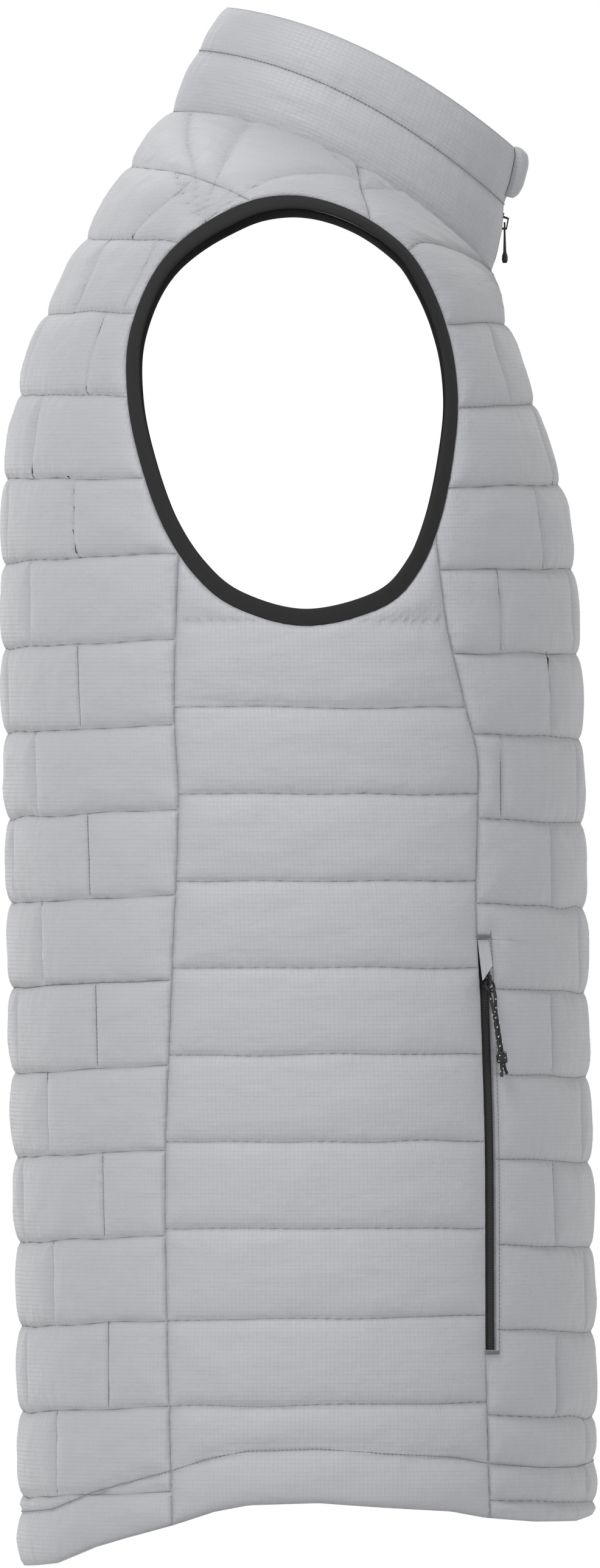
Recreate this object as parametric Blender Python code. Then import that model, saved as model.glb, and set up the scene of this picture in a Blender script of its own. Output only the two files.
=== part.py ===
"""A sleeveless quilted vest with a stand collar, filled out as worn and empty inside.

Metres, +Z up. The wearer faces -Y and the wearer's right side is -X. The origin lies between
the shoulders, level with the side of the neck. Every cloth piece is a wall on one of two
lofts, the body and the collar. A place on a loft is a turn, from 0 at the centre back to 1 at
the centre front and positive on the wearer's right, and a level, which climbs the rings.
"""

import math

import bmesh
import bpy
import numpy as np
from mathutils import Matrix, Vector, geometry, kdtree

# Cloth walls, measured from the surface that the stitches lie on
WALL_INSIDE = 0.0010
WALL_OUTSIDE = 0.0010
PUFF_RISE = 0.0042
PUFF_REACH = 0.019
SEAM_GAP = 0.0003

# Quilting
ROW_PITCH = 0.0425
BACK_ROW_START = -0.6800
BACK_ROW_END_START = -0.6750
BACK_ROWS = 17
FRONT_ROW_START = -0.6825
FRONT_ROW_END_START = -0.6795
FRONT_ROWS = 16
SIDE_ROW_START = -0.6307
SIDE_ROW_PITCH = 0.0433
SIDE_ROWS = 9
BRICK_LENGTH = 0.1100
BRICK_DRIFT = 0.0012
BRICK_CLEARANCE = 0.016
FRONT_LAST_BRICKS = 13
POCKET_BANDS = (2, 6)
HEM_BAND = 0.0270

# Trims
BINDING_WIDTH = 0.0085
ZIP_HALF_GAP = 0.0045
POCKET_TOP = -0.4000
POCKET_BOTTOM = -0.6050
POCKET_WIDTH = 0.0080
GARAGE_FOOT = (-0.4205, -0.4168, -0.4130)
GARAGE_RISES = (0.00105, 0.0028)
GARAGE_WALL = 0.0007
TRIM_GAP = 0.0003
CHIN_GUARD_HALF = 0.0130

# Zip hardware and pull cords
FRONT_SLIDER_LEVEL = 0.0245
FRONT_TEETH = (0.0029, 0.0008)
POCKET_SLIDER_HEIGHT = -0.4204
POCKET_TEETH = (0.0020, 0.0007)
POCKET_SLIDER_SIZE = 0.8
PLATE_THICKNESS = 0.0011
PIN_HEIGHT = 0.00135
FRONT_PULL_TILT = math.radians(11)
PULL_WINDOW = (0.00145, 0.0005, 0.0049)
RING_TILT = math.radians(20)
RING_RADIUS = 0.0031
RING_WIRE = 0.0006
CORD_RADIUS = 0.0008
CORD_LEAN = 0.0037
CORD_SINK = 0.0106
KNOT_DROP = 0.0316
KNOT_HALF_LENGTH = 0.0030
TAIL_DROPS = (0.0406, 0.0394)

# Mesh spacing, in metres
EDGE_STEP = 0.018
ROW_STEP = 0.021
LINING_STEP = 0.042
CELL_MARGIN = 0.0075
CELL_RISES = (0.26, 0.74)
NECK_STEP = 0.013
LEFT = np.array([-1.0, 1.0])

BODY_SECTIONS = (
    # level, z_back, y_back, z_side, half_width, z_front, y_front, squareness
    (-0.750, -0.7500, 0.1365, -0.7500, 0.2150, -0.7500, -0.1470, 2.30),
    (-0.600, -0.6000, 0.1373, -0.6000, 0.2125, -0.6000, -0.1457, 2.30),
    (-0.450, -0.4500, 0.1412, -0.4500, 0.2105, -0.4500, -0.1425, 2.30),
    (-0.330, -0.3300, 0.1435, -0.3300, 0.2135, -0.3300, -0.1402, 2.30),
    (-0.250, -0.2500, 0.1455, -0.2500, 0.2170, -0.2500, -0.1380, 2.30),
    (-0.180, -0.1800, 0.1450, -0.1810, 0.2190, -0.1900, -0.1327, 2.30),
    (-0.120, -0.1130, 0.1340, -0.1150, 0.2190, -0.1400, -0.1186, 2.30),
    (-0.078, -0.0660, 0.1130, -0.0720, 0.2165, -0.1080, -0.1078, 2.30),
    (-0.050, -0.0370, 0.0970, -0.0440, 0.2085, -0.0900, -0.1013, 2.30),
    (-0.030, -0.0200, 0.0865, -0.0285, 0.1900, -0.0800, -0.0985, 2.25),
    (0.005, -0.0040, 0.0760, -0.0175, 0.1450, -0.0725, -0.0965, 2.15),
    (0.050, 0.0137, 0.0622, -0.0082, 0.0830, -0.0656, -0.0960, 2.05),
)
COLLAR_SECTIONS = (
    # level, z_back, y_back, z_side, half_width, z_front, y_front, squareness
    (0.000, 0.0137, 0.0622, -0.0082, 0.0830, -0.0656, -0.0960, 2.05),
    (0.030, 0.0420, 0.0500, 0.0180, 0.0790, -0.0350, -0.1015, 2.05),
    (0.060, 0.0665, 0.0350, 0.0435, 0.0740, -0.0040, -0.1085, 2.05),
)
HEM_EDGE = (
    # y, z
    (-0.1480, -0.6885),
    (-0.1380, -0.6912),
    (-0.1190, -0.6908),
    (-0.0940, -0.6884),
    (-0.0765, -0.6850),
    (-0.0420, -0.6829),
    (-0.0100, -0.6806),
    (0.0247, -0.6817),
    (0.0420, -0.6850),
    (0.0622, -0.6917),
    (0.0863, -0.6985),
    (0.1016, -0.7033),
    (0.1208, -0.7119),
    (0.1400, -0.7150),
)
ARMHOLE_EDGE = (
    # z, y_back, y_front: the free edge of the binding
    (-0.0458, 0.0351, -0.0299),
    (-0.0671, 0.0631, -0.0546),
    (-0.0976, 0.0769, -0.0686),
    (-0.1281, 0.0780, -0.0732),
    (-0.1586, 0.0717, -0.0702),
    (-0.1891, 0.0607, -0.0634),
    (-0.2120, 0.0461, -0.0534),
    (-0.2272, 0.0275, -0.0378),
)
ARMHOLE_TOP = (0.0024, -0.0369)
ARMHOLE_BOTTOM = (-0.0040, -0.2355)
BACK_SEAM = (
    # z, y
    (-0.7000, 0.0616),
    (-0.6000, 0.0643),
    (-0.5250, 0.0655),
    (-0.4200, 0.0622),
    (-0.3300, 0.0590),
    (-0.2850, 0.0610),
    (-0.2050, 0.0590),
)
FRONT_SEAM = (
    # z, y
    (-0.7000, -0.0950),
    (-0.6000, -0.0926),
    (-0.5200, -0.0924),
    (-0.4300, -0.0900),
    (-0.3800, -0.0877),
    (-0.3150, -0.0888),
    (-0.2800, -0.0815),
    (-0.2400, -0.0727),
    (-0.2000, -0.0680),
)
SHOULDER_SEAM_AT_NECK = -0.0293
SHOULDER_SEAM_AT_ARMHOLE = -0.0360
SHOULDER_BRICKS = (
    # band under this row, y at its lower row, y at its upper row
    (14, 0.0869, 0.0686),
    (14, 0.1098, 0.0930),
    (15, 0.0833, 0.0494),
)
SHOULDER_ROW_AT_ARMHOLE = -0.0110
STRAP_BRICKS = (
    # y at the lower end, y at the upper end, what the upper end meets
    (0.0610, 0.0220, "row"),
    (0.0332, -0.0024, "row"),
    (0.0387, 0.0244, "neck"),
    (0.0110, -0.0275, "seam"),
)
# Where two back rows, a back brick and a front row meet the neck seam
NECK_MARKS = (0.0530, -0.0140, 0.0244, -0.0480)
# Shares of the shoulder seam, from the neck, where the last back and front rows meet it
LAST_ROWS_ON_SEAM = (0.35, 0.55)

# Cross-sections in metres: distance across the piece, then height over the stitch surface
BINDING_PROFILE = (
    (0.00015, 0.0013),
    (0.0018, 0.0018),
    (0.0068, 0.0018),
    (0.0085, 0.0002),
    (0.0068, -0.0014),
    (0.00015, -0.0013),
)
FRONT_TAPE_PROFILE = (
    (0.00015, -0.0025),
    (0.0120, -0.0025),
    (0.0120, -0.0016),
    (0.0032, -0.0016),
    (0.0027, 0.0005),
    (0.00015, 0.0008),
)
POCKET_TAPE_PROFILE = (
    (0.0003, -0.0010),
    (0.0077, -0.0010),
    (0.0077, -0.0003),
    (0.0059, -0.0003),
    (0.0054, 0.0007),
    (0.0026, 0.0007),
    (0.0021, -0.0003),
    (0.0003, -0.0003),
)
COLLAR_WALL = (
    # share of the height, outer face, inner face
    (0.00, 0.0010, -0.0010),
    (0.14, 0.0023, -0.0012),
    (0.34, 0.0026, -0.0012),
    (0.55, 0.0013, -0.0012),
    (0.74, 0.0024, -0.0012),
    (0.92, 0.0022, -0.0010),
    (1.00, 0.0009, -0.0004),
)
CHIN_GUARD_SIDE = (
    # share of the collar's height, height of the front face over the back face
    (0.62, 0.0020),
    (0.66, 0.0043),
    (0.76, 0.0058),
    (0.88, 0.0060),
    (0.97, 0.0046),
    (1.01, 0.0018),
)
FRONT_PULL = (
    # distance from the pin, half width, half thickness
    (-0.0005, 0.0026, 0.00045),
    (0.0052, 0.0025, 0.00050),
    (0.0145, 0.0022, 0.00080),
    (0.0165, 0.0028, 0.00140),
    (0.0185, 0.0026, 0.00150),
    (0.0200, 0.0013, 0.00100),
)

BRIDGE = (
    # distance along the zip from the slider's middle, height over the foot
    (-0.0036, 0.0000),
    (-0.0030, 0.0031),
    (0.0030, 0.0031),
    (0.0036, 0.0000),
    (0.0024, 0.0000),
    (0.0021, 0.0024),
    (-0.0021, 0.0024),
    (-0.0024, 0.0000),
)
KNOT_WALL = (
    # share of the wall's thickness, share of the half length
    (0.00, -1.0),
    (0.55, -1.0),
    (1.00, -0.45),
    (1.00, 0.45),
    (0.55, 1.0),
    (0.00, 1.0),
)
KNOT_HOLE = (0.00215, 0.00120)
KNOT_OUTSIDE = (0.0033, 0.0025)

GREY = (0.36, 0.37, 0.385)
BLACK = (0.012, 0.012, 0.013)
CORD_GREY = (0.05, 0.05, 0.052)


def smooth_columns(table):
    """A function of the first column that passes smoothly through every row of a table."""
    rows = np.array(table, float)
    place, values = rows[:, 0], rows[:, 1:]
    slope = np.diff(values, axis=0) / np.diff(place)[:, None]
    product = slope[:-1] * slope[1:]
    total = np.where(product > 0, slope[:-1] + slope[1:], 1.0)
    inner = np.where(product > 0, 2 * product / total, 0.0)
    bend = np.vstack([slope[:1], inner, slope[-1:]])

    def read(at):
        at = np.clip(np.asarray(at, float), place[0], place[-1])
        i = np.clip(np.searchsorted(place, at) - 1, 0, len(place) - 2)
        width = (place[i + 1] - place[i])[..., None]
        u = (at - place[i])[..., None] / width
        start = (1 + 2 * u) * (1 - u) ** 2 * values[i] + u * (1 - u) ** 2 * width * bend[i]
        end = u * u * (3 - 2 * u) * values[i + 1] + u * u * (u - 1) * width * bend[i + 1]
        return start + end

    return read


def even_turns():
    """The angle round a superellipse at each share of its half girth, as two columns."""
    angle = np.linspace(0, math.pi, 1441)
    across = 0.2150 * np.sin(angle) ** (2 / 2.3)
    along = 0.1420 * np.sign(np.cos(angle)) * np.abs(np.cos(angle)) ** (2 / 2.3)
    step = np.hypot(np.diff(across), np.diff(along))
    run = np.concatenate([[0], np.cumsum(step)])
    return run / run[-1], angle


TURN_SHARE, TURN_ANGLE = even_turns()


class Loft:
    """A hollow form lofted through the rings of a section table."""

    def __init__(self, sections):
        self.read = smooth_columns(sections)
        self.low, self.high = sections[0][0], sections[-1][0]

    def ring(self, level):
        """Middle, reach and lift of a ring: y, depth, half width, z, tilt, hump, squareness."""
        z_back, y_back, z_side, half, z_front, y_front, square = np.moveaxis(self.read(level), -1, 0)
        middle, depth = (y_back + y_front) / 2, (y_back - y_front) / 2
        height, tilt = (z_back + z_front) / 2, (z_back - z_front) / 2
        return middle, depth, half, height, tilt, z_side - height, square

    def point(self, turn, level):
        turn, level = np.broadcast_arrays(np.asarray(turn, float), np.asarray(level, float))
        turn = (turn + 1) % 2 - 1
        middle, depth, half, height, tilt, hump, square = self.ring(level)
        angle = np.interp(np.abs(turn), TURN_SHARE, TURN_ANGLE)
        share = np.sign(np.cos(angle)) * np.abs(np.cos(angle)) ** (2 / square)
        x = -np.sign(turn) * half * np.abs(np.sin(angle)) ** (2 / square)
        y = middle + depth * share
        z = height + tilt * share + hump * (1 - share**2)
        return np.stack([x, y, z], axis=-1)

    def normal(self, turn, level, step=0.003):
        round_it = self.point(turn + step, level) - self.point(turn - step, level)
        up_it = self.point(turn, level + step) - self.point(turn, level - step)
        out = np.cross(round_it, up_it)
        return out / np.linalg.norm(out, axis=-1, keepdims=True)

    def locate(self, y, z):
        """Turn and level on the wearer's right of what a side view shows at y, z."""
        y, z = np.broadcast_arrays(np.asarray(y, float), np.asarray(z, float))
        low, high = np.full(y.shape, self.low), np.full(y.shape, self.high)
        for _ in range(40):
            level = (low + high) / 2
            middle, depth, _, height, tilt, hump, _ = self.ring(level)
            share = (y - middle) / depth
            above = (height + tilt * share + hump * (1 - share**2) > z) | (np.abs(share) > 1)
            low, high = np.where(above, low, level), np.where(above, level, high)
        middle, depth, _, _, _, _, square = self.ring(low)
        share = np.clip((y - middle) / depth, -1, 1)
        angle = np.arccos(np.sign(share) * np.abs(share) ** (square / 2))
        return np.stack([np.interp(angle, TURN_ANGLE, TURN_SHARE), low], axis=-1)

    def beside_front(self, level, distance):
        """The turn on the wearer's right where a ring is that far from the centre front."""
        _, _, half, _, _, _, square = self.ring(level)
        angle = math.pi - np.arcsin((distance / half) ** (square / 2))
        return np.interp(angle, TURN_ANGLE, TURN_SHARE)


BODY = Loft(BODY_SECTIONS)
COLLAR = Loft(COLLAR_SECTIONS)


class Line:
    """A line drawn on a loft, with its places given by the real length from its start."""

    def __init__(self, spots, loft=BODY):
        self.spots = np.array(spots, float)
        self.points = loft.point(self.spots[:, 0], self.spots[:, 1])
        step = np.linalg.norm(np.diff(self.points, axis=0), axis=1)
        self.run = np.concatenate([[0], np.cumsum(step)])
        self.length = self.run[-1]

    def spot(self, run):
        run = np.asarray(run, float)
        return np.stack([np.interp(run, self.run, c) for c in self.spots.T], axis=-1)

    def at_height(self, z):
        return float(np.interp(z, self.points[:, 2], self.run))


def straight(start, end, count=60):
    share = np.linspace(0, 1, count)[:, None]
    return np.array(start) * (1 - share) + np.array(end) * share


def stations(marks, length, step=EDGE_STEP):
    """The marks along a line, with even steps put between them."""
    marks = sorted({0.0, float(length), *[float(m) for m in marks]})
    runs = [marks[0]]
    for start, end in zip(marks, marks[1:]):
        count = max(1, math.ceil((end - start) / step - 0.2))
        runs += [start + (end - start) * i / count for i in range(1, count + 1)]
    return runs


def snapped(run, marks, reach=0.003):
    """The nearest mark to a run where one is close by, or else the run."""
    near = min(marks, key=lambda mark: abs(mark - run), default=run)
    return near if abs(near - run) < reach else run


def closed_curve(controls, per_span=14):
    """A smooth closed curve through control points."""
    controls = np.array(controls)
    before, after, beyond = (np.roll(controls, shift, axis=0) for shift in (1, -1, -2))
    share = np.linspace(0, 1, per_span, endpoint=False)[None, :, None]
    a, b, c, d = (p[:, None] for p in (before, controls, after, beyond))
    curve = 0.5 * (
        2 * b
        + (c - a) * share
        + (2 * a - 5 * b + 4 * c - d) * share**2
        + (3 * b - a - 3 * c + d) * share**3
    )
    return curve.reshape(-1, controls.shape[1])


def armhole_line():
    """The outer edge of the binding, from the shoulder seam to the back, down and round."""
    back = [(y, z) for z, y, _ in ARMHOLE_EDGE]
    front = [(y, z) for z, _, y in reversed(ARMHOLE_EDGE)]
    edge = closed_curve([ARMHOLE_TOP, *back, ARMHOLE_BOTTOM, *front])
    spots = BODY.locate(edge[:, 0], edge[:, 1])
    points = BODY.point(*spots.T)
    ahead = np.roll(points, -1, axis=0) - np.roll(points, 1, axis=0)
    outwards = np.cross(ahead, BODY.normal(*spots.T))
    outwards /= np.linalg.norm(outwards, axis=1, keepdims=True)
    wide = points + outwards * BINDING_WIDTH
    spots = BODY.locate(wide[:, 1], wide[:, 2])
    upper = np.where(wide[:, 2] > -0.06, wide[:, 1], 1.0)
    start = int(np.argmin(np.abs(upper - SHOULDER_SEAM_AT_ARMHOLE)))
    spots = np.roll(spots, -start, axis=0)
    return Line(np.vstack([spots, spots[:1]]))


def hem_levels(turns):
    """The level of the hem edge at each turn."""
    table = np.array(HEM_EDGE)
    level = np.full(np.shape(turns), -0.70)
    for _ in range(3):
        level = np.interp(BODY.point(turns, level)[..., 1], table[:, 0], table[:, 1])
    return level


def bowed_row(inner, outer):
    """A stitch row from the centre line out, level at the centre and bending towards its end."""
    share = np.linspace(0, 1, 60)
    turn = inner[0] + (outer[0] - inner[0]) * share
    level = inner[1] + (outer[1] - inner[1]) * share**2
    return np.column_stack([turn, level])


def nearest_tree(lines):
    """A search tree over points 2 mm apart along each line."""
    points = []
    for spots in lines:
        line = Line(spots)
        count = max(2, int(line.length / 0.002))
        points += list(BODY.point(*line.spot(np.linspace(0, line.length, count)).T))
    tree = kdtree.KDTree(len(points))
    for i, point in enumerate(points):
        tree.insert(point, i)
    tree.balance()
    return tree


def inside(outline, spots):
    """Which spots lie inside a closed outline, by counting the edges above each."""
    found = np.zeros(len(spots), bool)
    for a, b in zip(outline, np.roll(outline, -1, axis=0)):
        spans = (a[0] > spots[:, 0]) != (b[0] > spots[:, 0])
        with np.errstate(divide="ignore", invalid="ignore"):
            height = a[1] + (spots[:, 0] - a[0]) * (b[1] - a[1]) / (b[0] - a[0])
        found ^= spans & (spots[:, 1] < height)
    return found


def triangulated(outline, lines, filler):
    """Triangles over an outline that keep each line as edges: spots, faces, outline's indices."""
    stretch = np.array([0.6, 1.0])
    spots, edges = list(outline), []
    count = len(outline)
    edges += [(i, (i + 1) % count) for i in range(count)]
    for line in lines:
        first = len(spots)
        spots += list(line)
        edges += [(i, i + 1) for i in range(first, len(spots) - 1)]
    spots += list(filler)
    flat = [Vector(spot * stretch) for spot in spots]
    verts, _, faces, origins, _, _ = geometry.delaunay_2d_cdt(flat, edges, [], 1, 1e-5)
    place = {source: i for i, sources in enumerate(origins) for source in sources}
    return np.array(verts) / stretch, faces, [place[i] for i in range(count)]


def inward(normals, points, gaps):
    """How far each outline point moves so that every edge moves in by the gap at its ends."""
    edge = np.roll(points, -1, axis=0) - points
    along = np.cross(normals, edge)
    along /= np.linalg.norm(along, axis=1, keepdims=True)
    before = np.roll(along, 1, axis=0)
    middle = along + before
    middle /= np.linalg.norm(middle, axis=1, keepdims=True)
    reach = np.maximum(0.45, np.sum(middle * along, axis=1, keepdims=True))
    return middle / reach * np.asarray(gaps)[:, None]


def new_object(name, mesh_data, colour, roughness=0.6, metallic=0.0):
    mesh = bpy.data.meshes.new(name)
    mesh_data.to_mesh(mesh)
    mesh_data.free()
    material = bpy.data.materials.new(name)
    material.use_nodes = True
    shader = material.node_tree.nodes["Principled BSDF"]
    shader.inputs["Base Color"].default_value = (*colour, 1.0)
    shader.inputs["Roughness"].default_value = roughness
    shader.inputs["Metallic"].default_value = metallic
    mesh.materials.append(material)
    mesh.shade_smooth()
    mesh.set_sharp_from_angle(angle=math.radians(40))
    obj = bpy.data.objects.new(name, mesh)
    bpy.context.scene.collection.objects.link(obj)
    return obj


def mesh_of(points, faces, mirror=1):
    """A bmesh of points and faces, with x times the mirror, which is 1 or -1."""
    shape = bmesh.new()
    verts = [shape.verts.new((mirror * p[0], p[1], p[2])) for p in points]
    for face in faces:
        if len(set(face)) == len(face):
            shape.faces.new([verts[i] for i in face])
    bmesh.ops.recalc_face_normals(shape, faces=shape.faces)
    return shape


def panel_shape(outline, quilt, gaps):
    """Points and faces of a quilted wall with raised padding over a plain inside."""
    tree = nearest_tree([np.vstack([outline, outline[:1]]), *quilt.lines])
    candidates = np.array(quilt.filler)
    candidates = candidates[inside(outline, candidates)]
    clear = [tree.find(p)[2] > CELL_MARGIN * 0.8 for p in BODY.point(*candidates.T)]
    spots, faces, rim = triangulated(outline, quilt.lines, candidates[np.array(clear)])
    base, normals = BODY.point(*spots.T), BODY.normal(*spots.T)
    rise = np.array([min(tree.find(p)[2] / PUFF_REACH, 1.0) for p in base])
    rise = WALL_OUTSIDE + PUFF_RISE * (1 - (1 - rise) ** 2)
    rise[rim] = WALL_OUTSIDE
    shift = inward(normals[rim], base[rim], gaps)
    outer = base + normals * rise[:, None]
    outer[rim] += shift

    turns = np.arange(-1, 1, LINING_STEP / 0.6)
    levels = np.arange(BODY.low, BODY.high, LINING_STEP)
    lattice = np.array([(turn, level) for turn in turns for level in levels])
    lattice = lattice[inside(outline, lattice)]
    edge_tree = nearest_tree([np.vstack([outline, outline[:1]])])
    clear = [edge_tree.find(p)[2] > LINING_STEP * 0.4 for p in BODY.point(*lattice.T)]
    plain, plain_faces, plain_rim = triangulated(outline, [], lattice[np.array(clear)])
    base, normals = BODY.point(*plain.T), BODY.normal(*plain.T)
    lining = base - normals * WALL_INSIDE
    lining[plain_rim] += shift

    points = np.vstack([outer, lining])
    first = len(outer)
    every = [tuple(face) for face in faces]
    every += [tuple(first + i for i in face) for face in plain_faces]
    for i in range(len(rim)):
        j = (i + 1) % len(rim)
        every.append((rim[i], rim[j], first + plain_rim[j], first + plain_rim[i]))
    return points, every


def even_rows(centre_line, centre_start, edge_line, edge_start, count):
    """Stitch rows one pitch apart from a centre line to an outer edge, and their runs on the edge."""
    first, edge_first = centre_line.at_height(centre_start), edge_line.at_height(edge_start)
    ends = [edge_first + k * ROW_PITCH for k in range(count)]
    inner = [centre_line.spot(first + k * ROW_PITCH) for k in range(count)]
    return [bowed_row(a, edge_line.spot(b)) for a, b in zip(inner, ends)], ends


def between(line, start, end):
    """A line's own spots between two runs."""
    keep = (line.run > start + 1e-7) & (line.run < end - 1e-7)
    return np.vstack([line.spot(start), line.spots[keep], line.spot(end)])


def whole_row(half):
    """A row across the centre back from its right half."""
    return np.vstack([half[::-1][:-1] * LEFT, half])


def run_at_y(line, y):
    return float(np.interp(-y, -line.points[:, 1], line.run))


def brick_runs(band, length):
    """Runs from the centre line of a band's upright stitches, offset in every other band."""
    offset = 0.5 if band % 2 else 0.0
    runs = [(j + offset) * BRICK_LENGTH for j in range(4)]
    runs = [run + (BRICK_DRIFT * max(0, 10 - band) if run else 0.0) for run in runs]
    return [run for run in runs if run < length - BRICK_CLEARANCE]


def back_bricks(rows, band):
    """Pairs of runs on a band's lower and upper row, on the right half of the back."""
    low, high = Line(rows[band]), Line(rows[band + 1])
    special = [(a, b) for row, a, b in SHOULDER_BRICKS if row == band]
    if special:
        return [(run_at_y(low, a), run_at_y(high, b)) for a, b in special]
    return [(run, run) for run in brick_runs(band, min(low.length, high.length))]


def front_bricks(rows, band):
    """Pairs of runs on a band's lower and upper row, from the zip out."""
    if band > FRONT_LAST_BRICKS:
        return []
    low, high = Line(rows[band]), Line(rows[band + 1])
    runs = brick_runs(band + 1, min(low.length, high.length))
    in_pocket = POCKET_BANDS[0] <= band <= POCKET_BANDS[1]
    return [(run, run) for run in runs if run and not (in_pocket and run > BRICK_LENGTH * 1.2)]


class Pattern:
    """Every seam line of the right half, with the stations that its two pieces share."""

    def __init__(self):
        self.armhole = armhole_line()
        self.back_corner = self.seam_top(BACK_SEAM, 1)
        self.front_corner = self.seam_top(FRONT_SEAM, -1)
        self.back_seam = self.side_seam(BACK_SEAM, self.back_corner)
        self.front_seam = self.side_seam(FRONT_SEAM, self.front_corner)
        neck_end = float(BODY.beside_front(BODY.high, ZIP_HALF_GAP))
        turns = np.linspace(0, neck_end, 400)
        self.neck = Line(np.column_stack([turns, np.full(400, BODY.high)]))
        self.neck_corner = run_at_y(self.neck, SHOULDER_SEAM_AT_NECK)
        self.shoulder = Line(straight(self.neck.spot(self.neck_corner), self.armhole.spots[0]))
        self.back_rows, self.front_rows = self.rows()
        self.share_stations()

    def seam_top(self, table, side):
        """The armhole's run where a side seam ends."""
        rows, points = np.array(table), self.armhole.points
        seam_y = np.interp(points[:, 2], rows[:, 0], rows[:, 1])
        here = (points[:, 2] < -0.18) & (points[:, 1] * side > 0)
        miss = np.where(here, np.abs(points[:, 1] - seam_y), 1.0)
        return float(self.armhole.run[np.argmin(miss)])

    def side_seam(self, table, corner):
        top = self.armhole.spot(corner)
        top_point = BODY.point(*top)
        z = np.linspace(table[0][0], top_point[2], 240)
        y = smooth_columns(table)(z)[:, 0]
        y = y + (top_point[1] - y[-1]) * np.clip((z - z[-1] + 0.03) / 0.03, 0, 1) ** 2
        spots = BODY.locate(y, z)
        first = int(np.argmax(spots[:, 1] > hem_levels(spots[:, 0]) + 0.001))
        foot = (spots[first, 0], float(hem_levels(spots[first, 0])))
        return Line(np.vstack([[foot], spots[first:-1], [top]]))

    def rows(self):
        """Right halves of the rows across the back and across the front, and their end marks."""
        levels = np.linspace(float(hem_levels(0.0)), BODY.high, 300)
        centre_back = Line(np.column_stack([np.zeros(300), levels]))
        levels = np.linspace(float(hem_levels(1.0)), BODY.high, 300)
        centre_front = Line(np.column_stack([BODY.beside_front(levels, ZIP_HALF_GAP), levels]))
        hole = between(self.armhole, 0, self.back_corner)[::-1]
        edge = Line(np.vstack([self.back_seam.spots, hole[1:]]))
        back, ends = even_rows(centre_back, BACK_ROW_START, edge, BACK_ROW_END_START, BACK_ROWS)
        self.back_marks = [run for run in ends if run < self.back_seam.length]
        self.hole_marks = [self.back_corner + self.back_seam.length - run for run in ends]
        self.hole_marks = [run for run in self.hole_marks if run < self.back_corner]
        hole = between(self.armhole, self.front_corner, self.armhole.length)
        edge = Line(np.vstack([self.front_seam.spots, hole[1:]]))
        front, ends = even_rows(centre_front, FRONT_ROW_START, edge, FRONT_ROW_END_START, FRONT_ROWS)
        self.front_marks = [run for run in ends if run < self.front_seam.length]
        rises = [self.front_corner + run - self.front_seam.length for run in ends]
        self.hole_marks += [run for run in rises if run > self.front_corner]
        self.pocket = [self.front_seam.at_height(z) for z in (POCKET_BOTTOM, POCKET_TOP)]
        front = [self.stopped_at_pocket(row, run) for row, run in zip(front, ends)]
        return back, front

    def in_pocket(self, run):
        return self.pocket[0] < run < self.pocket[1]

    def pocket_edge(self, runs):
        """Spots beside the front seam, across the pocket's opening from it."""
        spots = self.front_seam.spot(runs)
        ahead = BODY.point(spots[..., 0] + 0.01, spots[..., 1]) - BODY.point(spots[..., 0], spots[..., 1])
        share = POCKET_WIDTH / np.linalg.norm(ahead, axis=-1) * 0.01
        return np.stack([spots[..., 0] + share, spots[..., 1]], axis=-1)

    def stopped_at_pocket(self, row, run):
        return bowed_row(row[0], self.pocket_edge(run)) if self.in_pocket(run) else row

    def share_stations(self):
        """Runs along each shared line that both of its pieces use as corners."""
        heights = [SIDE_ROW_START + j * SIDE_ROW_PITCH for j in range(SIDE_ROWS + 1)]
        seams = (self.back_seam, self.front_seam)
        self.hem_marks = [seam.at_height(seam.points[0, 2] + HEM_BAND) for seam in seams]
        outside = [run for run in self.front_marks if not self.in_pocket(run)]
        self.side_marks = [
            [snapped(seam.at_height(z), marks) for z in heights]
            for seam, marks in zip(seams, (self.back_marks, outside))
        ]
        self.back_seam_runs = stations(
            [*self.back_marks, *self.side_marks[0], self.hem_marks[0]], self.back_seam.length
        )
        self.front_seam_runs = stations(
            [*outside, *self.side_marks[1], self.hem_marks[1], *self.pocket], self.front_seam.length
        )
        self.pocket_runs = stations(
            [self.pocket[0], self.pocket[1], *filter(self.in_pocket, self.front_marks)], self.pocket[1]
        )
        self.pocket_runs = [run for run in self.pocket_runs if run >= self.pocket[0]]
        z = SIDE_ROW_START + SIDE_ROWS * SIDE_ROW_PITCH
        low = (self.armhole.run > self.back_corner + 0.004) & (self.armhole.run < self.front_corner - 0.004)
        miss = np.where(low, np.abs(self.armhole.points[:, 2] - z), 1.0)
        behind = self.armhole.points[:, 1] > 0
        self.side_top = [
            float(self.armhole.run[np.argmin(np.where(side, miss, 1.0))]) for side in (behind, ~behind)
        ]
        crest = Line(between(self.armhole, 0, 0.09))
        self.strap_mark = run_at_y(crest, SHOULDER_ROW_AT_ARMHOLE)
        corners = [self.back_corner, self.front_corner, self.strap_mark, *self.side_top]
        self.armhole_runs = stations([*self.hole_marks, *corners], self.armhole.length)
        self.last_row, self.front_last = (share * self.shoulder.length for share in LAST_ROWS_ON_SEAM)
        self.shoulder_runs = stations([self.last_row, self.front_last], self.shoulder.length)
        self.neck_marks = [run_at_y(self.neck, y) for y in NECK_MARKS]
        self.neck_runs = stations([*self.neck_marks, self.neck_corner], self.neck.length, NECK_STEP)


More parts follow.
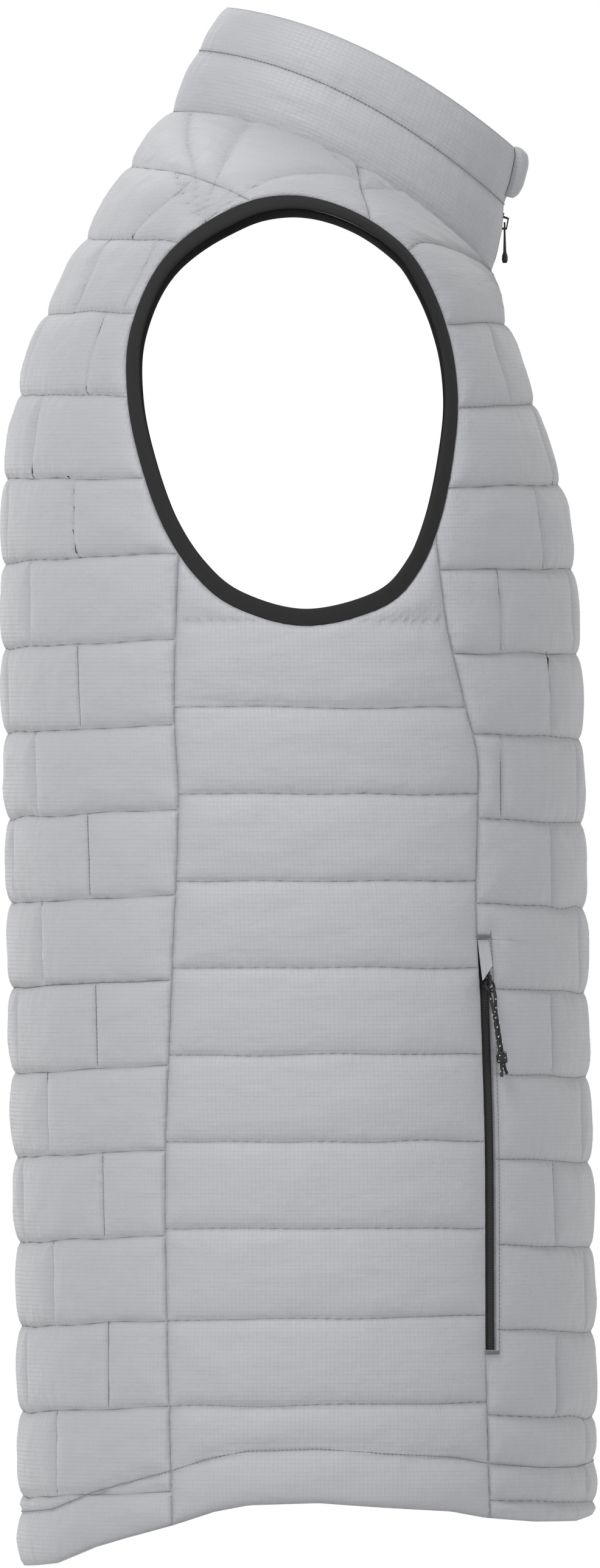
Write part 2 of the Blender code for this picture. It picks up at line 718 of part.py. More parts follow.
class Quilt:
    """The stitch lines of one panel, and the spots between them that carry its padding."""

    def __init__(self):
        self.lines, self.filler = [], []

    def add_line(self, spots, marks=()):
        line = Line(spots)
        self.lines.append(line.spot(stations(marks, line.length, ROW_STEP)))

    def add_rows(self, rows, bands, across):
        """Rows with their upright stitches; across says that they cross the centre back."""
        for k, row in enumerate(rows):
            below = [high for _, high in bands[k - 1]] if k else []
            above = [low for low, _ in bands[k]] if k < len(bands) else []
            line = Line(row)
            spots = line.spot(stations([*below, *above], line.length, ROW_STEP))
            self.lines.append(whole_row(spots) if across else spots)
        for low, high, pairs in zip(rows, rows[1:], bands):
            low, high = Line(low), Line(high)
            self.add_band(low, high, pairs)
            for a, b in pairs:
                upright = straight(low.spot(a), high.spot(b), 4)
                self.lines.append(upright)
                if across and a > 0:
                    self.lines.append(upright * LEFT)
        if across:
            self.filler += [spot * LEFT for spot in self.filler]

    def add_band(self, low, high, pairs):
        """Padding spots of the cells between two rows."""
        marks = [0.0, *sorted((a / low.length + b / high.length) / 2 for a, b in pairs if a), 1.0]
        length = (low.length + high.length) / 2
        for left, right in zip(marks, marks[1:]):
            inset = CELL_MARGIN * 1.2 / length
            count = max(1, round((right - left - 2 * inset) * length / ROW_STEP))
            for share in np.linspace(left + inset, right - inset, count + 1):
                foot, head = low.spot(share * low.length), high.spot(share * high.length)
                self.filler += [foot + (head - foot) * rise for rise in CELL_RISES]

    def add_hem(self, first, last):
        """The stitch line of the turned hem and the padding spots beside it."""
        turns = np.linspace(first[0], last[0], 60)
        line = np.column_stack([turns, hem_levels(turns) + HEM_BAND])
        line[0], line[-1] = first, last
        self.add_line(line)
        turns = np.linspace(first[0], last[0], max(3, int(abs(last[0] - first[0]) * 0.6 / ROW_STEP)))
        for rise in (0.5, 1.4, 1.9):
            self.filler += list(np.column_stack([turns, hem_levels(turns) + rise * HEM_BAND]))

    def add_lattice(self, foot, head, sides, rows, columns):
        """Padding spots over a patch between two edges, foot and head, and its two sides."""
        left, right = sides
        for v in (np.arange(rows) + 0.5) / rows:
            inner, outer = left.spot(left.length * v), right.spot(right.length * v)
            for u in (np.arange(columns) + 0.5) / columns:
                low, high = foot.spot(foot.length * u), head.spot(head.length * u)
                cross = inner * (1 - u) + outer * u + low * (1 - v) + high * v
                ends = (left.spot(0) * (1 - u) + right.spot(0) * u) * (1 - v)
                ends = ends + (left.spot(left.length) * (1 - u) + right.spot(right.length) * u) * v
                self.filler.append(cross - ends)


def joined(*stretches):
    """One closed outline from stretches that share their end spots."""
    return np.vstack([stretch[:-1] for stretch in stretches])


def hem_outline(first, last):
    turns = np.linspace(first[0], last[0], 200)
    line = np.column_stack([turns, hem_levels(turns)])
    line[0], line[-1] = first, last
    line = Line(line)
    return line.spot(stations([], line.length))


def hem_spot(turn):
    return np.array([turn, float(hem_levels(turn))])


def neck_gaps(turns):
    """How far panel and collar each stop short of the neck line, where they meet at an angle."""
    body = BODY.normal(turns, np.full(len(turns), BODY.high))
    collar = COLLAR.normal(turns, np.full(len(turns), COLLAR.low))
    bend = np.arccos(np.clip(np.sum(body * collar, axis=1), -1, 1))
    return SEAM_GAP / 2 + WALL_OUTSIDE * np.tan(bend / 2)


def outline_gaps(outline):
    gaps = np.full(len(outline), SEAM_GAP / 2)
    at_neck = outline[:, 1] > BODY.high - 1e-9
    gaps[at_neck] = neck_gaps(outline[at_neck, 0])
    return gaps


def back_panel(cut):
    half = joined(
        hem_outline(hem_spot(0.0), cut.back_seam.spots[0]),
        cut.back_seam.spot(cut.back_seam_runs),
        cut.armhole.spot([run for run in cut.armhole_runs if run <= cut.back_corner][::-1]),
        cut.shoulder.spot(cut.shoulder_runs[::-1]),
        cut.neck.spot([run for run in cut.neck_runs if run <= cut.neck_corner][::-1]),
    )
    middle = cut.neck.spot(0.0)
    outline = np.vstack([half, [middle], half[1:][::-1] * LEFT])
    rows = cut.back_rows
    bands = [back_bricks(rows, band) for band in range(len(rows) - 1)]
    quilt = Quilt()
    quilt.add_rows(rows, bands, across=True)
    strap = back_strap(cut)
    for side in (1, -1):
        mirror = np.array([side, 1.0])
        quilt.lines += [line * mirror for line in strap.lines]
        quilt.filler += [spot * mirror for spot in strap.filler]
    end = cut.back_seam.spot(cut.hem_marks[0])
    quilt.add_hem(end * LEFT, end)
    return panel_shape(outline, quilt, outline_gaps(outline))


def back_strap(cut):
    """The two rows over the right shoulder with their upright stitches and padding."""
    foot = Line(cut.back_rows[-1])
    at_neck = [cut.neck.spot(run) for run in cut.neck_marks]
    row = Line(straight(at_neck[0], cut.armhole.spot(cut.strap_mark)))
    seam_end = cut.shoulder.spot(cut.last_row)
    strap = Quilt()
    ends = {
        "row": lambda y: row.spot(run_at_y(row, y)),
        "neck": lambda y: at_neck[2],
        "seam": lambda y: seam_end,
    }
    row_marks = [run_at_y(row, high if head == "row" else low) for low, high, head in STRAP_BRICKS]
    for low, high, head in STRAP_BRICKS:
        start = foot.spot(run_at_y(foot, low)) if head == "row" else ends["row"](low)
        strap.add_line(straight(start, ends[head](high), 12))
    strap.add_line(row.spots, row_marks)
    strap.add_line(straight(at_neck[1], seam_end, 20))
    hole = Line(between(cut.armhole, 0, min(cut.hole_marks))[::-1])
    neck = Line(between(cut.neck, 0, cut.neck_corner))
    strap.add_lattice(foot, cut.shoulder, (neck, hole), 10, 11)
    return strap


def front_panel(cut):
    zip_side = np.linspace(BODY.high, float(hem_levels(1.0)), 300)
    zip_line = Line(np.column_stack([BODY.beside_front(zip_side, ZIP_HALF_GAP), zip_side]))
    rows = cut.front_rows
    row_runs = [run_at_level(zip_line, row[0, 1]) for row in rows]
    foot, corner = zip_line.spots[-1], cut.front_seam.spots[0]
    foot[1] = float(hem_levels(foot[0]))
    hem_mark = run_at_level(zip_line, foot[1] + HEM_BAND)
    runs = stations([*row_runs, hem_mark], zip_line.length)
    below = [run for run in cut.front_seam_runs if run <= cut.pocket[0]]
    above = [run for run in cut.front_seam_runs if run >= cut.pocket[1]]
    outline = joined(
        hem_outline(corner, foot),
        zip_line.spot(runs[::-1]),
        cut.neck.spot([run for run in cut.neck_runs if run >= cut.neck_corner][::-1]),
        cut.shoulder.spot(cut.shoulder_runs),
        cut.armhole.spot([run for run in cut.armhole_runs if run >= cut.front_corner][::-1]),
        np.vstack([cut.front_seam.spot(above[::-1]), [[0, 0]]]),
        np.vstack([cut.pocket_edge(cut.pocket_runs[::-1]), [[0, 0]]]),
        cut.front_seam.spot(below[::-1]),
    )
    bands = [front_bricks(rows, band) for band in range(len(rows) - 1)]
    quilt = Quilt()
    quilt.add_rows(rows, bands, across=False)
    at_neck = cut.neck.spot(cut.neck_marks[3])
    quilt.add_line(straight(at_neck, cut.shoulder.spot(cut.front_last), 20))
    neck = Line(between(cut.neck, cut.neck_corner, cut.neck.length)[::-1])
    hole = Line(between(cut.armhole, max(cut.hole_marks), cut.armhole.length))
    head = Line(cut.shoulder.spots)
    quilt.add_lattice(Line(rows[-1]), head, (neck, hole), 4, 5)
    quilt.add_hem(cut.front_seam.spot(cut.hem_marks[1]), zip_line.spot(hem_mark))
    return panel_shape(outline, quilt, outline_gaps(outline))


def run_at_level(line, level):
    return float(np.interp(-level, -line.spots[:, 1], line.run))


def side_panel(cut):
    low = [run for run in cut.armhole_runs if cut.back_corner <= run <= cut.front_corner]
    outline = joined(
        hem_outline(cut.back_seam.spots[0], cut.front_seam.spots[0]),
        cut.front_seam.spot(cut.front_seam_runs),
        cut.armhole.spot(low[::-1]),
        cut.back_seam.spot(cut.back_seam_runs[::-1]),
    )
    rows = [
        straight(cut.back_seam.spot(a), cut.front_seam.spot(b)) for a, b in zip(*cut.side_marks)
    ]
    quilt = Quilt()
    quilt.add_rows(rows[:-1], [[] for _ in rows[2:]], across=False)
    quilt.add_band(Line(rows[-2]), Line(rows[-1]), [])
    for end, mark in zip((rows[-1][0], rows[-1][-1]), cut.side_top):
        quilt.add_line(straight(end, cut.armhole.spot(mark), 12))
    quilt.add_hem(cut.back_seam.spot(cut.hem_marks[0]), cut.front_seam.spot(cut.hem_marks[1]))
    return panel_shape(outline, quilt, outline_gaps(outline))


def swept(rings, looped=False, paired=False):
    """Points and faces of a closed profile carried along a row of places."""
    rings = np.asarray(rings)
    count, size = rings.shape[:2]
    faces = []
    for i in range(count if looped else count - 1):
        here, there = i * size, (i + 1) % count * size
        faces += [
            (here + j, here + (j + 1) % size, there + (j + 1) % size, there + j) for j in range(size)
        ]
    for end in () if looped else (0, (count - 1) * size):
        if paired:
            faces += [
                (end + j, end + j + 1, end + size - 2 - j, end + size - 1 - j)
                for j in range(size // 2 - 1)
            ]
        else:
            faces.append(tuple(end + j for j in range(size)))
    return rings.reshape(-1, 3), faces


def armhole_binding(cut):
    """The stretch band that finishes the armhole, just inside the panels' edge."""
    spots = cut.armhole.spot(cut.armhole_runs[:-1])
    points, normals = BODY.point(*spots.T), BODY.normal(*spots.T)
    ahead = np.roll(points, -1, axis=0) - np.roll(points, 1, axis=0)
    into = np.cross(normals, ahead)
    into /= np.linalg.norm(into, axis=1, keepdims=True)
    rings = [
        [p + toward * across + n * rise for across, rise in BINDING_PROFILE]
        for p, n, toward in zip(points, normals, into)
    ]
    return swept(rings, looped=True)


def collar_turns(turns, level):
    """Collar turns that keep its front edges beside the zip at every level."""
    edge = COLLAR.beside_front(level, ZIP_HALF_GAP)
    return turns * edge / np.max(np.abs(turns))


def collar(cut):
    """The stand collar, a plain wall with one stitch line round it, from its left front edge."""
    right = cut.neck.spot(cut.neck_runs)[:, 0]
    turns = np.concatenate([-right[::-1][:-1], right])
    gaps = neck_gaps(turns)
    rows = []
    for share, outer, inner in COLLAR_WALL:
        levels = gaps + share * (COLLAR.high - gaps)
        here = collar_turns(turns, levels)
        points, normals = COLLAR.point(here, levels), COLLAR.normal(here, levels)
        rows.append((points + normals * outer, points + normals * inner))
    profile = [outer for outer, _ in rows] + [inner for _, inner in reversed(rows)]
    return swept(np.stack(profile, axis=1), paired=True)


def chin_guard():
    """The padded tab outside the collar's front that covers the top of the zip."""
    back = COLLAR_WALL[2][1] + TRIM_GAP
    rings = []
    for x in np.linspace(-CHIN_GUARD_HALF, CHIN_GUARD_HALF, 9):
        dome = 0.35 + 0.65 * (1 - (x / CHIN_GUARD_HALF) ** 4)
        heights = [(share, back + rise * dome) for share, rise in CHIN_GUARD_SIDE]
        heights += [(share, back) for share, _ in reversed(CHIN_GUARD_SIDE)]
        ring = []
        for share, rise in heights:
            level = min(share, 1.0) * COLLAR.high
            turn = math.copysign(float(COLLAR.beside_front(level, abs(x))), -x)
            over = Vector((0, 0, 1)) * (share - min(share, 1.0)) * COLLAR.high
            ring.append(COLLAR.point(turn, level) + COLLAR.normal(turn, level) * rise + over)
        rings.append(ring)
    return swept(rings, paired=True)


def front_tape():
    """One half of the front zip with its teeth, from the hem to the collar's top."""
    foot = float(hem_levels(1.0))
    body = np.linspace(foot + 0.001, BODY.high - 0.004, 34)
    upper = np.linspace(0.004, COLLAR.high * 0.98, 6)
    rings = []
    for loft, levels in ((BODY, body), (COLLAR, upper)):
        for level in levels:
            turns = [float(loft.beside_front(level, across)) for across, _ in FRONT_TAPE_PROFILE]
            ring = [
                loft.point(turn, level) + loft.normal(turn, level) * rise
                for turn, (_, rise) in zip(turns, FRONT_TAPE_PROFILE)
            ]
            rings.append(ring)
    return swept(rings, paired=True)


def pocket_place(cut, run, across, rise):
    """A point over the pocket's opening: up the front seam, across it towards the front, out."""
    spot = cut.front_seam.spot(run)
    edge = cut.pocket_edge(run)
    here = spot + (edge - spot) * across / POCKET_WIDTH
    return BODY.point(*here) + BODY.normal(*here) * rise


def pocket_zip(cut):
    """The closed pocket zip, one strip of tape with its teeth."""
    runs = np.linspace(cut.pocket[0] + TRIM_GAP, cut.pocket[1] - TRIM_GAP, 14)
    rings = [
        [pocket_place(cut, run, across, rise) for across, rise in POCKET_TAPE_PROFILE] for run in runs
    ]
    return swept(rings)


def pocket_garage(cut):
    """The scrap of cloth over the top of the pocket zip, cut slantwise below."""
    top = cut.pocket[1] - TRIM_GAP
    across = (TRIM_GAP, POCKET_WIDTH / 2, POCKET_WIDTH - TRIM_GAP)
    lowest = [cut.front_seam.at_height(z) for z in GARAGE_FOOT]
    rings = []
    for side, low in zip(across, lowest):
        corners = [(low, GARAGE_RISES[1]), (top, GARAGE_RISES[0])]
        corners += [(run, rise + GARAGE_WALL) for run, rise in reversed(corners)]
        rings.append([pocket_place(cut, run, side, rise) for run, rise in corners])
    return swept(rings)


def zip_frame(point, above, out):
    """A placing matrix on a zip: +X across it, +Y up along it, +Z out of the cloth."""
    out = Vector(out).normalized()
    across = (Vector(above) - Vector(point)).cross(out).normalized()
    turned = Matrix((across, out.cross(across), out)).transposed().to_4x4()
    return Matrix.Translation(Vector(point)) @ turned


def front_frame():
    point, above = COLLAR.point(1.0, FRONT_SLIDER_LEVEL), COLLAR.point(1.0, FRONT_SLIDER_LEVEL + 0.002)
    return zip_frame(point, above, COLLAR.normal(1.0, FRONT_SLIDER_LEVEL))


def pocket_frame(cut):
    run, middle = cut.front_seam.at_height(POCKET_SLIDER_HEIGHT), POCKET_WIDTH / 2
    point, above = pocket_place(cut, run, middle, 0.0), pocket_place(cut, run + 0.004, middle, 0.0)
    return zip_frame(point, above, pocket_place(cut, run, middle, 1.0) - point)


def extruded(outline, flat_axes, half):
    """A shape from an outline in two of the axes, going half each way along the third."""
    deep = 3 - sum(flat_axes)
    rings = []
    for side in (-half, half):
        ring = np.zeros((len(outline), 3))
        ring[:, flat_axes], ring[:, deep] = outline, side
        rings.append(ring)
    return mesh_of(*swept(rings))


def combined(obj, other, operation):
    """Joins a shape to an object or cuts it out of it."""
    mesh = bpy.data.meshes.new(obj.name + "_tool")
    other.to_mesh(mesh)
    other.free()
    tool = bpy.data.objects.new(obj.name + "_tool", mesh)
    bpy.context.scene.collection.objects.link(tool)
    tool.hide_render, tool.display_type = True, "WIRE"
    tool.matrix_world = obj.matrix_world
    step = obj.modifiers.new("Shape", "BOOLEAN")
    step.operation, step.object, step.solver = operation, tool, "EXACT"


def plate_foot(teeth):
    """The height of a slider's bridge foot, a little inside its plate."""
    return teeth[1] + PLATE_THICKNESS


def slider(name, place, teeth, size):
    """A zip slider: a plate with side flanges over the teeth, and a bridge for its pull."""
    plate, side, low = teeth[1] + TRIM_GAP, teeth[0] + TRIM_GAP, 0.0001
    top, wing = plate + PLATE_THICKNESS, side + 0.0008
    section = [(-wing, low), (-side, low), (-side, plate), (side, plate), (side, low), (wing, low)]
    section += [(wing, top), (-wing, top)]
    obj = new_object(name, extruded(section, (0, 2), 0.0050 * size), BLACK, 0.35, 0.6)
    obj.matrix_world = place
    bridge = [(along * size, plate_foot(teeth) + rise) for along, rise in BRIDGE]
    combined(obj, extruded(bridge, (1, 2), 0.0011 * size), "UNION")


def hanging(place, teeth, tilt):
    """The frame of a pull: its origin on the pin's axis and -Y down the pull."""
    pin = Matrix.Translation((0, 0, plate_foot(teeth) + PIN_HEIGHT))
    return place @ pin @ Matrix.Rotation(-tilt, 4, "X")


def front_pull(place):
    """The tapered pull of the front zip, with a window round the slider's bridge."""
    rings = []
    for drop, width, thick in FRONT_PULL:
        ring = [(width, thick * 0.6), (width * 0.6, thick), (-width * 0.6, thick), (-width, thick * 0.6)]
        ring += [(-x, -z) for x, z in ring]
        rings.append([(x, -drop, z) for x, z in ring])
    obj = new_object("front_zip_pull", mesh_of(*swept(rings)), BLACK, 0.5)
    obj.matrix_world = place
    half, top, end = PULL_WINDOW
    window = [(-half, -top), (half, -top), (half, -end), (-half, -end)]
    combined(obj, extruded(window, (0, 1), 0.003), "DIFFERENCE")


def pull_ring(name, place):
    """The round pull that hangs from a pocket slider's bridge."""
    rings = []
    for angle in np.linspace(0, 2 * math.pi, 20, endpoint=False):
        ring = []
        for round_it in np.linspace(0, 2 * math.pi, 8, endpoint=False):
            reach = RING_RADIUS + RING_WIRE * math.cos(round_it)
            across, drop = reach * math.sin(angle), RING_RADIUS + reach * math.cos(angle)
            ring.append((across, -drop, RING_WIRE * math.sin(round_it)))
        rings.append(ring)
    new_object(name, mesh_of(*swept(rings, looped=True)), BLACK, 0.4).matrix_world = place


def cord_middle(drop):
    """The point between the two strands, so far below the ring's lower bar."""
    share = drop / KNOT_DROP
    return np.array([CORD_LEAN * share, -2 * RING_RADIUS - drop, -CORD_SINK * share])


def cord_path(side):
    """Control points of one strand, from beside the ring's lower bar down to its tail."""
    turn = CORD_RADIUS + RING_WIRE + TRIM_GAP
    bar = -2 * RING_RADIUS
    path = [(0.0, bar - turn * math.cos(a), side * turn * math.sin(a)) for a in np.radians((145, 110, 80))]
    beside = np.array([side * (CORD_RADIUS + TRIM_GAP / 2), 0, 0])
    clear = KNOT_DROP + KNOT_HALF_LENGTH * 1.3
    path += [cord_middle(drop) + beside for drop in (0.009, 0.018, 0.027, KNOT_DROP, clear)]
    return [*path, cord_middle(TAIL_DROPS[side > 0]) + beside * 2.2]


def pull_cord(name, place, mirror):
    """One cord from its first tail up round the ring's lower bar and down to its second."""
    turn = CORD_RADIUS + RING_WIRE + TRIM_GAP
    crown = [(0.0, -2 * RING_RADIUS + turn, 0.0)]
    controls = np.array([*cord_path(-1)[::-1], *crown, *cord_path(1)]) * (mirror, 1, 1)
    run = np.concatenate([[0], np.cumsum(np.linalg.norm(np.diff(controls, axis=0), axis=1))])
    points = smooth_columns(np.column_stack([run, controls]))(cord_stops(run))
    data = bpy.data.curves.new(name, "CURVE")
    data.dimensions, data.use_fill_caps = "3D", True
    data.bevel_depth, data.bevel_resolution = CORD_RADIUS, 2
    spline = data.splines.new("POLY")
    spline.points.add(len(points) - 1)
    for target, point in zip(spline.points, points):
        target.co = (*point, 1.0)
    material = bpy.data.materials.new(name)
    material.use_nodes = True
    material.node_tree.nodes["Principled BSDF"].inputs["Base Color"].default_value = (*CORD_GREY, 1)
    data.materials.append(material)
    obj = bpy.data.objects.new(name, data)
    bpy.context.scene.collection.objects.link(obj)
    obj.matrix_world = place


def cord_stops(run):
    """Runs along a cord, close together at the turn in its middle."""
    middle = run[-1] / 2
    close = np.linspace(-0.006, 0.006, 15)
    away = np.linspace(0.009, middle, 9)
    return np.concatenate([middle - away[::-1], middle + close, middle + away])


def cord_knot(name, place, mirror):
    """The barrel knot that holds the two strands together, open where they pass."""
    rings = []
    for angle in np.linspace(0, 2 * math.pi, 14, endpoint=False):
        ring = []
        for thick, along in KNOT_WALL:
            across, out = (hole + (wall - hole) * thick for hole, wall in zip(KNOT_HOLE, KNOT_OUTSIDE))
            middle = cord_middle(KNOT_DROP - along * KNOT_HALF_LENGTH)
            ring.append(middle + (across * math.cos(angle), 0, out * math.sin(angle)))
        rings.append(ring)
    shape = mesh_of(*swept(rings, looped=True), mirror)
    new_object(name, shape, CORD_GREY, 0.9).matrix_world = place


for old in list(bpy.data.objects):
    bpy.data.objects.remove(old, do_unlink=True)

CUT = Pattern()
new_object("back_panel", mesh_of(*back_panel(CUT)), GREY)
new_object("collar", mesh_of(*collar(CUT)), GREY)
new_object("chin_guard", mesh_of(*chin_guard()), GREY)
FRONT, SIDE, BINDING, TAPE = front_panel(CUT), side_panel(CUT), armhole_binding(CUT), front_tape()
ZIP, GARAGE = pocket_zip(CUT), pocket_garage(CUT)
FRONT_PLACE = front_frame()
slider("front_zip_slider", FRONT_PLACE, FRONT_TEETH, 1.0)
front_pull(hanging(FRONT_PLACE, FRONT_TEETH, FRONT_PULL_TILT))
for side, mirror in (("right", 1), ("left", -1)):
    new_object(f"front_panel_{side}", mesh_of(*FRONT, mirror), GREY)
    new_object(f"side_panel_{side}", mesh_of(*SIDE, mirror), GREY)
    new_object(f"armhole_binding_{side}", mesh_of(*BINDING, mirror), BLACK, 0.9)
    new_object(f"front_zip_tape_{side}", mesh_of(*TAPE, mirror), BLACK, 0.8)
    new_object(f"pocket_zip_{side}", mesh_of(*ZIP, mirror), BLACK, 0.8)
    new_object(f"pocket_garage_{side}", mesh_of(*GARAGE, mirror), GREY)
    across = Matrix.Diagonal((mirror, 1, 1, 1))
    place = across @ pocket_frame(CUT) @ across
    slider(f"pocket_slider_{side}", place, POCKET_TEETH, POCKET_SLIDER_SIZE)
    pull = hanging(place, POCKET_TEETH, RING_TILT)
    pull_ring(f"pocket_pull_{side}", pull)
    pull_cord(f"pocket_cord_{side}", pull, mirror)
    cord_knot(f"pocket_knot_{side}", pull, mirror)
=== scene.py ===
"""The looks of a quilted vest: padded cloth, stitches, trims, zips, pulls and cords.

Metres, +Z up. The wearer faces -Y and the wearer's right side is -X. Every cloth piece lies on
one of two lofts, the body and the collar. A place on a loft is a turn, from 0 at the centre back
to 1 at the centre front and positive on the wearer's right, and a level, which climbs the rings.
"""

import math

import bmesh
import bpy
import numpy as np
from mathutils import Matrix, Vector, kdtree, noise


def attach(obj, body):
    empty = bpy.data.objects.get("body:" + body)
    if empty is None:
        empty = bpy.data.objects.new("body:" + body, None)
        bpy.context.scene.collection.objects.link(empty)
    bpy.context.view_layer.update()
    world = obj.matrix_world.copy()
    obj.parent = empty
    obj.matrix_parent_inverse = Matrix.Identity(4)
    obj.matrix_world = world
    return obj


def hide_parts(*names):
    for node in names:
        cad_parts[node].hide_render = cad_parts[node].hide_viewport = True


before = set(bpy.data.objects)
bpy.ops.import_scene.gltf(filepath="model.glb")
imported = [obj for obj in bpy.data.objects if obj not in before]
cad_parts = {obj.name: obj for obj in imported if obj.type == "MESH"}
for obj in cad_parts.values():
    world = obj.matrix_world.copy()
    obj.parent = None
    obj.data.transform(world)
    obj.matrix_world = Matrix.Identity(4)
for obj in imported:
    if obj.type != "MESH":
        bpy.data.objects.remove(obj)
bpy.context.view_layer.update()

# The view: a long lens level with the vest's middle, on the wearer's right
VIEW_CENTRE = (-0.0009, -0.3227)
VIEW_HEIGHT, VIEW_PLANE = 0.7857, -0.04
LENS, SENSOR = 641.0, 19.9
LAMP_AIM = (0, 0, -0.35)
LAMPS = (
    # name, place, size, watts
    ("key", (-2.2, 1.0, 2.3), 1.3, 92.0),
    ("fill", (-2.3, -2.2, 0.9), 2.4, 12.0),
    ("far", (2.4, 0.4, 1.6), 2.4, 30.0),
)
FLOOR_LEVEL, FLOOR_RADIUS = -0.9, 3.0
# Backdrop: how much dimmer it is above and below, where that starts, and how fast it comes
DIMMER_ABOVE, DIMMER_BELOW = 0.55, 0.88
BAND_HALF, BAND_SLOPE = 0.10, 5

# Padding, in metres from the stitch surface and from the nearest stitch
CREASE_RISE, CREASE_REACH = 0.0015, 0.0022
PAD_RISE, PAD_REACH = 0.0019, 0.019
PUCKER_RISE, PUCKER_REACH, PUCKER_START = 0.0007, 0.008, 0.0015
PUCKER_WIDTH, PUCKER_LENGTH = 0.0065, 0.024
FOLD_RISE, FOLD_WIDTH, FOLD_HEIGHT = 0.0009, 0.030, 0.016
FLATTENED_SHARE, FLATTENED_REACH = 0.75, 0.010
ROW_WANDER, ROW_WANDER_RATE = 0.0013, 14.0
ROW_SEED_STEP, BACK_SEED, FRONT_SEED, SIDE_SEED = 3.7, 0, 100, 200
TREE_STEP = 0.0008
COLUMNS = {"back": 92, "front": 84, "side": 60}
CROWDING = 0.10

# The collar's stitch line and its ribs: sizes and reaches in metres
COLLAR_HALF_LENGTH, COLLAR_STITCH_SHARE = 0.22, 0.55
COLLAR_DIP, COLLAR_DIP_REACH = 0.0005, 0.0015
RIB_SIZE, RIB_RISE, RIB_SHARE, RIB_REACH = (0.005, 0.030), 0.00045, 0.35, 0.008
DOME_EDGE = 0.35

# The cloth's surface: sizes in metres across and up, then heights
WEAVE_PITCH, WEAVE_WIDTH, WEAVE_RISE, WEAVE_SHADE = 0.0021, 0.11, 0.00008, 0.07
WRINKLE_SIZE, WRINKLE_RISE = (0.022, 0.012), 0.00070
GATHERS = (
    # beside which stitches, size across, size up, noise layer, reach, height
    ("row_near", 0.0030, 0.012, 3.0, 0.0045, 0.00042),
    ("upright_near", 0.012, 0.0030, 7.0, 0.0040, 0.00036),
    ("edge_near", 0.004, 0.004, 9.0, 0.0045, 0.00030),
)
# Painted shade along the stitch creases: how much it darkens, the share of the cloth's colour at its
# darkest, and how fast it fades beside rows, uprights and edges
PAINTED_CREASE_SHADE, DARK_SHARE = 0.75, 0.55
PAINTED_CREASE_WIDTHS = (0.0008, 0.0007, 0.0007)

# Colours, as light that comes back
CLOTH_GREY = (0.375, 0.38, 0.40)

# Thread
STITCH_PITCH, STITCH_LENGTH, THREAD_RADIUS = 0.0021, 0.0016, 0.00019
# Heights of the thread over the surface that the stitches lie on
ROW_THREAD, UPRIGHT_THREAD, HEM_THREAD, COLLAR_THREAD = 0.00115, 0.0013, 0.0021, 0.0015
UPRIGHT_MARGIN = 0.002
POCKET_THREAD, TACK_THREAD = 0.0021, 0.0024
TOPSTITCH_GAP, TACK_REACH, TACK_SPREAD, TACK_GAP = 0.0014, 0.0008, 0.0007, 0.0012
POCKET_THREAD_RADIUS = THREAD_RADIUS * 1.2

# Zip teeth
TOOTH_PITCH = 0.0013
FRONT_TOOTH_ENDS, FRONT_TOOTH_RISE, FRONT_TOOTH_RADIUS = (0.0002, 0.0028), 0.00065, 0.00045
POCKET_TOOTH_HALF, POCKET_TOOTH_RISE, POCKET_TOOTH_RADIUS = 0.0014, 0.00055, 0.00040

# Cloth walls, measured from the surface that the stitches lie on
WALL_INSIDE = 0.0010
WALL_OUTSIDE = 0.0010
SEAM_GAP = 0.0003

# Quilting
ROW_PITCH = 0.0425
BACK_ROW_START = -0.6800
BACK_ROW_END_START = -0.6750
BACK_ROWS = 17
FRONT_ROW_START = -0.6825
FRONT_ROW_END_START = -0.6795
FRONT_ROWS = 16
SIDE_ROW_START = -0.6307
SIDE_ROW_PITCH = 0.0433
SIDE_ROWS = 9
BRICK_LENGTH = 0.1100
BRICK_DRIFT = 0.0012
BRICK_CLEARANCE = 0.016
FRONT_LAST_BRICKS = 13
POCKET_BANDS = (2, 6)
HEM_BAND = 0.0270

# Trims
BINDING_WIDTH = 0.0085
BINDING_STEPS = 240
ZIP_HALF_GAP = 0.0045
POCKET_TOP = -0.4000
POCKET_BOTTOM = -0.6050
POCKET_WIDTH = 0.0080
TRIM_GAP = 0.0003
CHIN_GUARD_HALF = 0.0130

# Zip hardware and pull cords
POCKET_SLIDER_HEIGHT = -0.4204
POCKET_TEETH = (0.0020, 0.0007)
PLATE_THICKNESS = 0.0011
PIN_HEIGHT = 0.00135
RING_TILT = math.radians(20)
RING_RADIUS = 0.0031
RING_WIRE = 0.0006
CORD_RADIUS = 0.0008
CORD_LEAN = 0.0037
CORD_SINK = 0.0106
KNOT_DROP = 0.0316
KNOT_HALF_LENGTH = 0.0030
KNOT_TURNS, KNOT_WRAP_HALF, KNOT_REACH = 3.5, 0.0021, (0.0023, 0.00155)
FLECK_PITCH, FLECK_SIZE, FLECK_TURN, FLECK_SINK = 0.0016, (0.00036, 0.00036, 0.00052), 2.1, 0.86
TAIL_DROPS = (0.0406, 0.0394)

LEFT = np.array([-1.0, 1.0])
SIDES = (("right", 1), ("left", -1))

